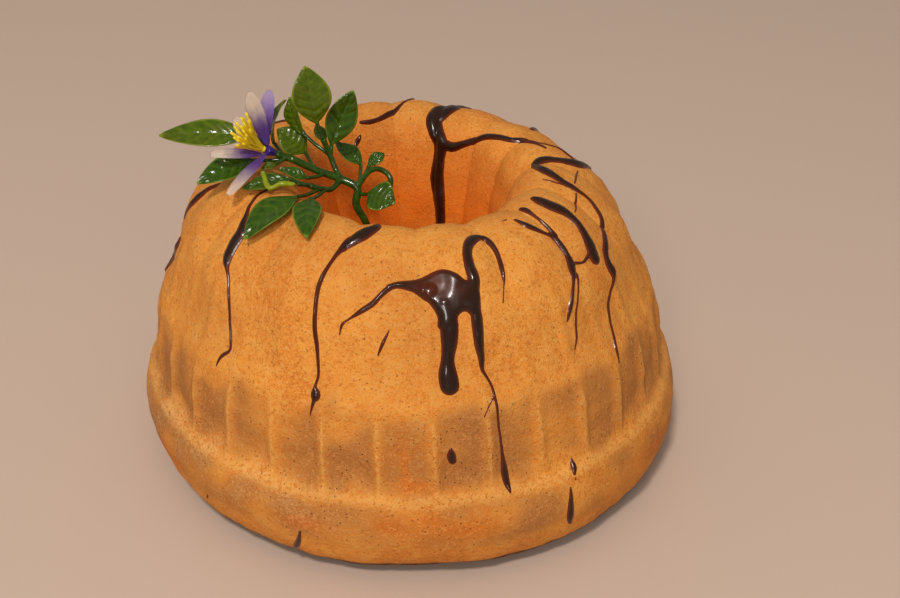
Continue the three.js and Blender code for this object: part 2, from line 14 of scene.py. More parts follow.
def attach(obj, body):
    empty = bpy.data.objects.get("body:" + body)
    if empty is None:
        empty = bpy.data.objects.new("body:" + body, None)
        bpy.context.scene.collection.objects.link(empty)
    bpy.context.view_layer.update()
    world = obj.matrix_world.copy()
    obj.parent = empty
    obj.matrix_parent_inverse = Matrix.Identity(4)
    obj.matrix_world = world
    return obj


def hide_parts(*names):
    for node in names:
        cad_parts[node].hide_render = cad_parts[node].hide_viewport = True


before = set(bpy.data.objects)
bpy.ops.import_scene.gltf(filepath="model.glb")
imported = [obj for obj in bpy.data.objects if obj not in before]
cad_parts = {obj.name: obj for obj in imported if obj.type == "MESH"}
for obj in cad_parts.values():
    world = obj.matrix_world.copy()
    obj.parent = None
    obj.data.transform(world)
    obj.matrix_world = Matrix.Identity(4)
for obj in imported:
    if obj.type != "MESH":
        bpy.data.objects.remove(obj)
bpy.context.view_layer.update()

# %% [markdown]
# ## The camera
# The photograph looks down on the cake from the front, a little over half a metre away. The
# camera stands there. The lens could be shifted to bring the cake left of the middle, as it is in
# the photograph, but a turn to the right and up from the middle of the base does the same and
# leaves the lens plain.

# %% Camera
CAMERA_PLACE = np.array([0.0, -0.5045, 0.3638])
CAMERA_TURN = np.radians(1.57)
CAMERA_TILT = np.radians(4.78)
LENS_MM = 54.8

ahead = -CAMERA_PLACE / np.linalg.norm(CAMERA_PLACE)
right = np.array([1.0, 0.0, 0.0])
above = np.cross(right, ahead)
turned = ahead * np.cos(CAMERA_TURN) + right * np.sin(CAMERA_TURN)
side = right * np.cos(CAMERA_TURN) - ahead * np.sin(CAMERA_TURN)
look = turned * np.cos(CAMERA_TILT) + above * np.sin(CAMERA_TILT)
up = above * np.cos(CAMERA_TILT) - turned * np.sin(CAMERA_TILT)
camera = bpy.data.objects.new("camera", bpy.data.cameras.new("camera"))
camera.data.lens = LENS_MM
camera.data.clip_start = 0.01
camera.rotation_euler = Matrix(np.stack([side, up, -look], -1)).to_euler()
camera.location = CAMERA_PLACE
bpy.context.scene.collection.objects.link(camera)
bpy.context.scene.camera = camera
print("camera at", CAMERA_PLACE, "looking along", look.round(3))

# %% [markdown]
# ## The section of the cake
# A ring cake is one section turned round an axis, so the section is all that has to be known:
# its radius and height, how deep the lobes of the crown are there, and how deep the flutes of
# the tiers are. The distance along the crust from the top of the crown is the second measure
# that places anything on the cake, plus on the way down outside and minus down the hole.
# A lathe tool could turn the section too, but a formula can be asked again for any place, so
# the crust and the chocolate on it are sure to fit.

# %% Section: radius, height, lobe depth, flute depth in millimetres
MM = 0.001
CREST_HEIGHT = 125.5
SECTION = np.array([
    [93, 0, 0, 0], [102.5, 2.2, 0, 0], [109.5, 8, 0, 0], [113.2, 16, 0, 0], [114.5, 27, 0, 0],
    [113.3, 34, 0, 0], [111.4, 39, 0, 0.1], [108.8, 42, 0, 0.4], [108, 47, 0, 1.6],
    [107, 58, 0, 1.8], [105, 68, 0, 1.2], [103, 74, 0.3, 0.3], [100, 79, 0.5, 0.5],
    [95.5, 89.5, 0.9, 0.9], [91.5, 100, 1.7, 0.6], [84.5, 110, 2.3, 0.2], [76, 118, 2.3, 0],
    [66.5, 123.5, 1.9, 0], [57, CREST_HEIGHT, 1.5, 0], [50.5, 123.5, 1.6, 0],
    [44.5, 117.5, 1.8, 0], [41, 106, 1.8, 0], [37, 88, 1.5, 0], [32, 62, 1.2, 0],
    [26.5, 29, 0.8, 0], [23, 6, 0.3, 0], [22, 0, 0, 0]])
FLUTES = 32
LOBES = 16
FIRST_FLUTE = 5.0
LOBE_POWER = 0.75
FLUTE_EDGE = 0.35
FLUTE_POWER = 1.5
AXIS_SHIFT = 1.1
LEAN = -5.0
CROWN_TILT = 2.0
CROWN_TILT_HEADING = 20.0
TILT_FROM = 60.0

crest_row = int(np.argmax(SECTION[:, 1]))
lengths = np.hypot(*np.diff(SECTION[:, :2], axis=0).T)
ALONG = -np.concatenate([[0.0], np.cumsum(lengths)])
ALONG -= ALONG[crest_row]
SLOPES = np.diff(SECTION, axis=0) / np.diff(ALONG)[:, None]
before, after = lengths[:-1, None], lengths[1:, None]
inner = (SLOPES[:-1] * after + SLOPES[1:] * before) / (before + after)
TANGENTS = np.vstack([SLOPES[:1], inner, SLOPES[-1:]])
print("crust from", ALONG[0].round(1), "mm outside to", ALONG[-1].round(1), "mm down the hole")


# %% Points on the crust
def section_at(along):
    """The section's four columns at a distance along it: a smooth cubic curve through its rows."""
    along = np.asarray(along, float)
    row = np.clip(np.searchsorted(-ALONG, -along) - 1, 0, len(ALONG) - 2)
    step = ALONG[row + 1] - ALONG[row]
    t = np.clip((along - ALONG[row]) / step, 0, 1)[..., None]
    step = step[..., None]
    ease = t * t * (3 - 2 * t)
    start, end = SECTION[row], SECTION[row + 1]
    lead = t * (1 - t) ** 2 * step * TANGENTS[row]
    trail = t * t * (1 - t) * step * TANGENTS[row + 1]
    return start + (end - start) * ease + lead - trail


def on_crust(angle, along, lift=0.0):
    """A point on the crust, in metres. The section's radius is turned by the angle from the
    front, pushed in by lobes (a power of a sine) and flutes (a flat hollow between ridges), and
    then leant to the left and tilted at the crown as the real cake is."""
    radius, height, lobe, flute = np.moveaxis(section_at(along), -1, 0)
    ahead_of, behind = section_at(along + 0.5), section_at(along - 0.5)
    rise = ahead_of[..., :2] - behind[..., :2]
    size = np.maximum(np.hypot(rise[..., 0], rise[..., 1]), 1e-9)
    from_valley = np.abs(np.sin(np.radians((angle - FIRST_FLUTE) * LOBES / 2)))
    turn = ((angle - FIRST_FLUTE) * FLUTES / 360 + 0.5) % 1
    from_ridge = np.abs(turn - 0.5) * 2
    lobes = lobe * (1 - from_valley ** LOBE_POWER)
    flutes = flute * np.clip(from_ridge / FLUTE_EDGE, 0, 1) ** FLUTE_POWER
    out = lift - lobes - flutes
    r = radius - rise[..., 1] / size * out
    z = height + rise[..., 0] / size * out
    high = np.clip((z - TILT_FROM) / (CREST_HEIGHT - TILT_FROM), 0, 1) ** 2
    z = z - high * CROWN_TILT * np.sin(np.radians(angle + CROWN_TILT_HEADING))
    x = r * np.sin(np.radians(angle)) + AXIS_SHIFT + LEAN * z / CREST_HEIGHT
    y = -r * np.cos(np.radians(angle))
    return np.stack([x, y, z], -1) * MM


print("top of the crown in front:", on_crust(0.0, 0.0).round(4))


# %% [markdown]
# ## Helpers for every piece
# A piece is a grid of points joined into four-sided faces. Its unevenness could come from a
# displacement texture. A sum of sine waves in seeded directions is used instead, because it is
# smooth, comes out the same on each run, and needs no loop over the points.

# %% Unevenness
WAVE_COUNT = 24
WAVE_SPREAD = (0.7, 1.6)
WAVE_STRENGTH = 0.7
# The swells of the crust: height in millimetres, size in metres, seed
CRUST_SWELLS = [(0.45, 0.045, 3), (0.22, 0.014, 4), (0.10, 0.0055, 5)]


def unit_rows(vectors):
    """Vectors brought to the length 1."""
    return vectors / np.linalg.norm(vectors, axis=-1, keepdims=True)


def waves(points, size, seed):
    """Smooth unevenness between about -1 and 1: the mean of sine waves of the given size in
    seeded directions, evaluated at the points."""
    draw = np.random.default_rng(seed)
    headings = unit_rows(draw.normal(size=(WAVE_COUNT, 3)))
    pitch = 2 * np.pi / (size * draw.uniform(*WAVE_SPREAD, WAVE_COUNT))
    phase = draw.uniform(0, 2 * np.pi, WAVE_COUNT)
    total = np.zeros(points.shape[:-1])
    for heading, rate, start in zip(headings, pitch, phase):
        total += np.sin(points @ heading * rate + start)
    return total * np.sqrt(2 / WAVE_COUNT) * WAVE_STRENGTH


def unevenness(points):
    """How far the baked crust swells out at each point, in millimetres: three sizes of waves."""
    return sum(height * waves(points, size, seed) for height, size, seed in CRUST_SWELLS)


print("unevenness of two places, in mm:", unevenness(on_crust(np.array([0, 90]), 40.0)).round(2))


# %% Faces and pieces
def grid_faces(rows, columns, closed_rows=False, closed_columns=False):
    """Four-sided faces between neighbouring points of a grid, wrapped round where it closes."""
    i = np.arange(rows if closed_rows else rows - 1)[:, None]
    j = np.arange(columns if closed_columns else columns - 1)[None, :]
    i2, j2 = (i + 1) % rows, (j + 1) % columns
    corners = [i * columns + j, i2 * columns + j, i2 * columns + j2, i * columns + j2]
    return np.stack([c.ravel() for c in corners], -1)


def new_piece(name, points, faces, nodes, material, marks=None, uv=None):
    """A smooth mesh object at the origin, which rides on the cake and replaces CAD nodes. Marks
    are numbers for each point that its material reads, and uv is a pair for each point."""
    mesh = bpy.data.meshes.new(name)
    flat = np.ascontiguousarray(points.reshape(-1, 3), dtype=np.float32)
    mesh.from_pydata(flat.tolist(), [], [list(map(int, face)) for face in faces])
    mesh.polygons.foreach_set("use_smooth", np.ones(len(mesh.polygons), bool))
    for label, values in (marks or {}).items():
        layer = mesh.attributes.new(label, "FLOAT", "POINT")
        layer.data.foreach_set("value", np.ascontiguousarray(values.ravel(), np.float32))
    if uv is not None:
        corner = np.zeros(len(mesh.loops), np.int32)
        mesh.loops.foreach_get("vertex_index", corner)
        layer = mesh.uv_layers.new(name="blade")
        layer.data.foreach_set("uv", uv.reshape(-1, 2)[corner].astype(np.float32).ravel())
    mesh.materials.append(material)
    mesh.validate()
    piece = bpy.data.objects.new(name, mesh)
    bpy.context.scene.collection.objects.link(piece)
    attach(piece, "root")
    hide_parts(*nodes)
    triangles = sum(len(face) - 2 for face in faces)
    print(f"{name}: {len(flat)} points, {triangles} triangles")


print("a grid of 3 by 4 points has", len(grid_faces(3, 4)), "faces")


# %% Node helpers
def new_material(name):
    """A material with a Principled shader, and its node tree."""
    material = bpy.data.materials.new(name)
    material.use_nodes = True
    return material, material.node_tree, material.node_tree.nodes["Principled BSDF"]


def node(tree, kind, settings=None, **inputs):
    """A node of a kind, with its settings and its inputs, each a value or another socket."""
    made = tree.nodes.new("ShaderNode" + kind)
    for key, value in (settings or {}).items():
        setattr(made, key, value)
    for key, value in inputs.items():
        socket = made.inputs[int(key[1:]) if key[1:].isdigit() else key.replace("_", " ")]
        if isinstance(value, bpy.types.NodeSocket):
            tree.links.new(value, socket)
        else:
            socket.default_value = value
    return made


def maths(tree, operation, a, b=0.0, c=0.0):
    """One step of arithmetic."""
    made = node(tree, "Math", {"operation": operation}, i0=a, i1=b, i2=c)
    return made.outputs[0]


def ramp(tree, value, low, high, to_low=0.0, to_high=1.0):
    """A smooth step from one value to another as the input runs from low to high."""
    settings = {"interpolation_type": "SMOOTHSTEP"}
    made = node(tree, "MapRange", settings, i0=value, i1=low, i2=high, i3=to_low, i4=to_high)
    return made.outputs[0]


print("materials before the first piece:", len(bpy.data.materials))


# %% Colour, noise and relief
def painted(tree, colour, layers):
    """A colour with others laid over it in turn, each by its own share."""
    for share, over in layers:
        mix = node(tree, "Mix", {"data_type": "RGBA"}, i0=share, i6=colour, i7=over)
        colour = mix.outputs[2]
    return colour


def own_place(tree):
    """The object's own coordinates."""
    return node(tree, "TexCoord").outputs["Object"]


def noise(tree, place, scale, detail=2.0, rough=0.5):
    """Noise over the object's own coordinates."""
    made = node(tree, "TexNoise", None, Vector=place, Scale=scale, Detail=detail, Roughness=rough)
    return made.outputs[0]


def bumped(tree, height, strength, depth):
    """The direction that a surface faces when a fine relief is pressed into it."""
    return node(tree, "Bump", None, Strength=strength, Distance=depth, Height=height).outputs[0]


def join(tree, shader, plain, **changing):
    """Joins what changes over the surface to the shader's sockets, and sets its plain sockets."""
    for label, value in changing.items():
        tree.links.new(value, shader.inputs[label.replace("_", " ")])
    for label, value in plain.items():
        shader.inputs[label].default_value = value


def mark(tree, label):
    """A number that the mesh carries at each point."""
    return node(tree, "Attribute", {"attribute_name": label}).outputs["Fac"]


def srgb(red, green, blue, alpha=1.0):
    """A colour given in the usual 0 to 255 steps, as the light values that a shader wants."""
    c = np.array([red, green, blue]) / 255
    return (*np.where(c <= 0.04045, c / 12.92, ((c + 0.055) / 1.055) ** 2.4), alpha)


print("golden brown as light:", np.round(srgb(200, 130, 60), 3))


# %% [markdown]
# ## The crust
# The crust is the cake's own surface, from the base up the fluted tiers, over the crown and down
# the hole. It could be sculpted by hand, but then it would no longer follow the solid. A grid of
# angle and distance along the section carries it, with sixteen columns to a flute, and low sine
# waves make it as uneven as a baked thing is. Where the sponge stuck to the tin it is browner.
# Texture painting could show that. Marks on the mesh do it here, from the same two measures, and
# also paint a highlight on the ledge and shade under the rim and down the hole.

# %% Crust surface
FLUTE_COLUMNS = 16
columns = FLUTES * FLUTE_COLUMNS
angles = FIRST_FLUTE + np.arange(columns) * 360 / columns
OUTSIDE_STEP = 1.25
HOLE_FROM = -16.0
HOLE_ROWS = 36
EVEN_EDGE = 8.0
outside = np.arange(ALONG[0], HOLE_FROM, -OUTSIDE_STEP)
hole = np.linspace(HOLE_FROM, ALONG[-1], HOLE_ROWS)
stations = np.concatenate([outside, hole])
angle_grid, along_grid = np.meshgrid(angles, stations)
plain = on_crust(angle_grid, along_grid)
fade = (np.clip((ALONG[0] - along_grid) / EVEN_EDGE, 0, 1)
        * np.clip((along_grid - ALONG[-1]) / EVEN_EDGE, 0, 1))
crust_points = on_crust(angle_grid, along_grid, unevenness(plain) * fade)
print("crust grid:", crust_points.shape)


# %% Places of the marks
def bump(value, low, high, soft):
    """1 between two limits and 0 outside them, with soft edges."""
    enter = np.clip((value - low) / soft + 0.5, 0, 1)
    leave = np.clip((high - value) / soft + 0.5, 0, 1)
    return enter * enter * (3 - 2 * enter) * leave * leave * (3 - 2 * leave)


# Bands of the crust: from and to, in millimetres along it, and how soft their edges are
TIER_END, TIER_SOFT = 106, 13
LOW_TIER, LOW_BAND, LEDGE = (92, 107, 8), (111, 130, 8), (106.5, 111.5, 3)
RIDGES, FLOURY_BAND = (76, 106, 6), (100, 126, 12)
# The same in degrees round the cake
BROWN_LEFT, BROWN_RIGHT = (-75, -14, 14), (14, 30, 10)
FLOURY_LEFT, SHADE_RAISED_RIGHT = (-85, -18, 20), (5, 75, 30)
PANEL_EDGE, RIDGE_SHARE = (0.05, 0.35), 0.13
# Unevenness of the colours: size in metres and seed
PATCHES, SMALL_PATCHES = (0.05, 11), (0.018, 13)
TIER_RAGGED = 5
# How strong the painted highlight on the ledge is, and how pale the ridges are
LEDGE_HIGHLIGHT, PALE_ON_RIDGES = 0.6, 0.8
# Painted shade down the hole, where bounced light saturates the crust: millimetres down the hole
# where it starts, and over how many it grows
HOLE_START, HOLE_FADE = 4, 40
# Painted shade along the lowest rim, where the cake curves under: how far above the section's third
# row it starts, how much higher on the right, how ragged and how soft it is
UNDER_START, UNDER_RAISED, UNDER_RAGGED, UNDER_SOFT = 0.6, 0.8, 0.5, 1.6
# How brown each panel of the lower tier is, from the ridge at 5 degrees on round the cake
PANEL_BROWN = np.array([
    0.65, 0.75, 0.55, 0.45, 0.5, 0.5, 0.5, 0.6, 0.4, 0.3, 0.5, 0.7, 0.6, 0.4, 0.3, 0.5,
    0.6, 0.75, 0.5, 0.35, 0.5, 0.6, 0.8, 0.75, 0.85, 0.9, 0.9, 0.85, 0.9, 0.9, 0.8, 0.5])
PANEL_TOP = np.where(np.arange(FLUTES) < 4, 73.0, 77.5)
# Orange spots: degrees, millimetres along, and their half sizes in both
ORANGE_SPOTS = [(-4.5, 119, 3.5, 5), (3, 116, 3, 3), (10, 121, 8, 5), (-1, 94, 1.0, 11),
                (-22, 122, 5, 4), (-60, 128, 8, 6), (60, 124, 9, 5), (150, 120, 8, 8),
                (-130, 122, 9, 6), (1, 103, 4, 3)]
print(len(ORANGE_SPOTS), "orange spots")

# %% Marks on the crust
angle_signed = (angle_grid + 180) % 360 - 180
turn = ((angle_grid - FIRST_FLUTE) * FLUTES / 360) % 1
from_ridge = np.minimum(turn, 1 - turn) * 2
in_panel = np.clip((from_ridge - PANEL_EDGE[0]) / PANEL_EDGE[1], 0, 1)
patches = waves(plain, *PATCHES)
small_patches = waves(plain, *SMALL_PATCHES)
panel = np.floor(((angle_grid - FIRST_FLUTE) % 360) * FLUTES / 360).astype(int) % FLUTES
ragged_along = along_grid + TIER_RAGGED * small_patches
tier = bump(ragged_along, PANEL_TOP[panel], TIER_END, TIER_SOFT)
blotch = (PANEL_BROWN[panel] + 0.3 * patches + 0.2 * small_patches
          + 0.3 * bump(along_grid, *LOW_TIER))
browned = tier * (0.35 + 0.65 * in_panel) * np.clip(blotch, 0, 1.2)
band_brown = bump(angle_signed, *BROWN_LEFT) + 0.5 * bump(angle_signed, *BROWN_RIGHT)
band_patch = (bump(along_grid, *LOW_BAND)
              * np.clip(0.4 + 0.4 * band_brown + 0.35 * small_patches, 0, 1))
browned = np.maximum(browned, band_patch) + 0.12 + 0.15 * patches
orange = sum(np.exp(-((angle_signed - a) / da) ** 2 - ((along_grid - s) / ds) ** 2)
             for a, s, da, ds in ORANGE_SPOTS)
ridge_line = 1 - np.clip(from_ridge / RIDGE_SHARE, 0, 1)
# The pale mark: a painted highlight on the ledge, whose top faces up, and paler crust along the
# ridges
pale = (LEDGE_HIGHLIGHT * bump(along_grid, *LEDGE)
        + PALE_ON_RIDGES * ridge_line * bump(along_grid, *RIDGES))
floury = bump(along_grid, *FLOURY_BAND) * (0.35 + 0.65 * bump(angle_signed, *FLOURY_LEFT))
floury = floury * np.clip(0.6 + 0.3 * small_patches, 0, 1)
# Painted shade: a share that grows further down the hole
hole_shade = np.clip((-along_grid - HOLE_START) / HOLE_FADE, 0, 1)
# Painted shade under the rim: it starts higher on the right, away from the light, and its edge is
# ragged
under_shade_from = (ALONG[2] - UNDER_START - UNDER_RAISED * bump(angle_signed, *SHADE_RAISED_RIGHT)
              + UNDER_RAGGED * small_patches)
under = np.clip((along_grid - under_shade_from) / UNDER_SOFT, 0, 1)
print("browned from", browned.min().round(2), "to", browned.max().round(2))

# %% [markdown]
# ## The finish of the crust
# A sponge's crust is not one colour. It is golden, with a pale fine grain, small dark pores and
# brown freckles, and it turns brown where it caught the tin. A picture of a crust could be laid
# over it, but it would smear or repeat. The shader lays noises over each other in the object's
# own coordinates instead, and the same grain and pores give the bump.

# %% Crust material
GOLD = srgb(232, 148, 55)
GOLD_PALE = srgb(244, 178, 84)
# Paler crust on the ridges, and a painted highlight on the ledge
PALE_RIDGE_AND_LEDGE_HIGHLIGHT = srgb(236, 178, 98)
GOLD_DEEP = srgb(212, 120, 36)
BROWN = srgb(173, 112, 58)
BROWN_DARK = srgb(112, 52, 18)
ORANGE = srgb(208, 108, 28)
FLOUR = srgb(218, 180, 130)
GRAIN_PALE = srgb(244, 184, 100)
GRAIN_DARK = srgb(166, 92, 34)
# Dark brown painted shade for the lowest rim, where the cake curves under
UNDERSIDE_SHADE = srgb(104, 54, 24)
# A saturated orange, painted for the warm bounced light in the shade of the hole
HOLE_SHADE_ORANGE = srgb(238, 114, 6)
# Noises: scale, detail and roughness
BROAD, CLOUD, GRAIN, FINE = (30, 3), (130, 4, 0.6), (620, 3, 0.65), (1400, 3, 0.7)
# Specks: scale of their cells, size in a cell and the share of cells that have one
FRECKLES, DARK_DOTS, ORANGE_DOTS = (330, 0.16, 0.45), (520, 0.17, 0.6), (260, 0.13, 0.2)
CRUMB_STRENGTH, CRUMB_DEPTH = 0.9, 0.0005
FINE_SHARE, GRAIN_SHARE = 0.55, 0.45
MOST_PALE, LESS_ON_BROWN, MOST_DARK, BETWEEN = 0.36, -0.14, 0.41, 0.02
SPECK_SOFT, SPECK_CORE, SPECK_RAGGED = 1.15, 0.7, 1.2

crust_material, tree, shader = new_material("crust")
place = own_place(tree)
broad, cloud, grain, fine = (noise(tree, place, *each) for each in (BROAD, CLOUD, GRAIN, FINE))
grain_part = maths(tree, "MULTIPLY", grain, GRAIN_SHARE)
mixed_grain = maths(tree, "MULTIPLY_ADD", fine, FINE_SHARE, grain_part)
print("crust noises:", len(tree.nodes), "nodes")


# %% Layers of the crust
def grainy_share(label, spread, low, high, most):
    """The share of a finish: its mark on the mesh, broken up by the grain."""
    around_zero = maths(tree, "MULTIPLY_ADD", mixed_grain, spread, -0.5 * spread)
    return ramp(tree, maths(tree, "ADD", around_zero, mark(tree, label)), low, high, 0, most)


def grain_layers(pattern, middle, spread):
    """Pale grains where a noise is high, fewer on brown crust, and dark ones where it is low."""
    most_pale = maths(tree, "MULTIPLY_ADD", mark(tree, "browned"), LESS_ON_BROWN, MOST_PALE)
    pale_from, dark_from = middle + BETWEEN, middle - BETWEEN
    return [(ramp(tree, pattern, pale_from, pale_from + spread, 0, most_pale), GRAIN_PALE),
            (ramp(tree, pattern, dark_from, middle - spread, 0, MOST_DARK), GRAIN_DARK)]


def specks(scale, size, share):
    """Round specks: near the middle of a cell, and only in the share of cells drawn for one."""
    cells = node(tree, "TexVoronoi", None, Vector=place, Scale=scale, Randomness=1.0)
    drawn = node(tree, "SeparateXYZ", None, Vector=cells.outputs[1]).outputs[0]
    inwards = maths(tree, "SUBTRACT", cells.outputs[0], size * SPECK_RAGGED / 2)
    ragged = maths(tree, "MULTIPLY_ADD", fine, size * SPECK_RAGGED, inwards)
    round_speck = ramp(tree, ragged, size * SPECK_SOFT, size * SPECK_CORE)
    return maths(tree, "MULTIPLY", round_speck, ramp(tree, drawn, share, share - 0.05))


in_clouds = ramp(tree, cloud, 0.25, 0.6, 0.5, 0.8)
more_on_brown = maths(tree, "MULTIPLY_ADD", mark(tree, "browned"), 0.5, 0.35)
speck_share = maths(tree, "MULTIPLY", more_on_brown, ramp(tree, cloud, 0.35, 0.6, 0.4, 1.3))
small_specks = maths(tree, "MULTIPLY", specks(*DARK_DOTS), speck_share)
# A ramp's numbers: the noise or mark from and to, and the share of the colour from and to
colour = painted(tree, GOLD, [
    (ramp(tree, broad, 0.38, 0.66, 0, 0.6), GOLD_DEEP),
    (ramp(tree, cloud, 0.45, 0.7, 0, 0.4), GOLD_PALE),
    (ramp(tree, cloud, 0.48, 0.3, 0, 0.4), GOLD_DEEP),
    (grainy_share("browned", 4.4, -0.1, 1.3, 0.93), BROWN),
    # A painted highlight on the ledge, and paler ridges
    (grainy_share("pale", 3.0, 0.0, 1.3, 0.7), PALE_RIDGE_AND_LEDGE_HIGHLIGHT),
    (grainy_share("orange", 5.0, 0.05, 1.1, 0.85), ORANGE),
    (grainy_share("floury", 3.6, 0.35, 1.5, 0.42), FLOUR),
    *grain_layers(fine, 0.485, 0.12),
    *grain_layers(grain, 0.48, 0.15),
    # Painted shade down the hole, broken up by clouds
    (maths(tree, "MULTIPLY", mark(tree, "hole_shade"), in_clouds), HOLE_SHADE_ORANGE),
    # Painted shade along the lowest rim
    (mark(tree, "under"), UNDERSIDE_SHADE),
    (maths(tree, "MULTIPLY", specks(*FRECKLES), 0.6), GRAIN_DARK),
    (small_specks, BROWN_DARK),
    (maths(tree, "MULTIPLY", specks(*ORANGE_DOTS), 0.6), ORANGE)])
pitted = maths(tree, "SUBTRACT", 1.0, small_specks)
raised = maths(tree, "MULTIPLY_ADD", mixed_grain, 2.2, cloud)
height = maths(tree, "MULTIPLY_ADD", pitted, 0.5, raised)
join(tree, shader, {"Specular IOR Level": 0.18}, Base_Color=colour,
     Roughness=ramp(tree, grain, 0.3, 0.7, 0.6, 0.85),
     Normal=bumped(tree, height, CRUMB_STRENGTH, CRUMB_DEPTH))
print("crust material:", len(tree.nodes), "nodes")

# %% Crust piece
new_piece(
    "crust", crust_points, grid_faces(len(stations), columns, True, True)[:, ::-1], ["cake"],
    crust_material,
    {"browned": browned, "orange": np.clip(orange, 0, 1), "pale": pale, "floury": floury,
     "hole_shade": hole_shade, "under": under})

# %% [markdown]
# ## The chocolate
# Chocolate that ran is a thin film with a rounded edge. Tubes laid on the crust could show it, but
# they would cross where the real runs melt together. So each run is a list of places: angle,
# distance along the crust and half width. The film's height over the crust is worked out on a
# fine grid: at each point, how far inside the nearest run it lies, rounded up to that run's own
# height, and runs that meet flow into each other. Only the part of the grid near chocolate
# becomes a mesh, closed below inside the cake.

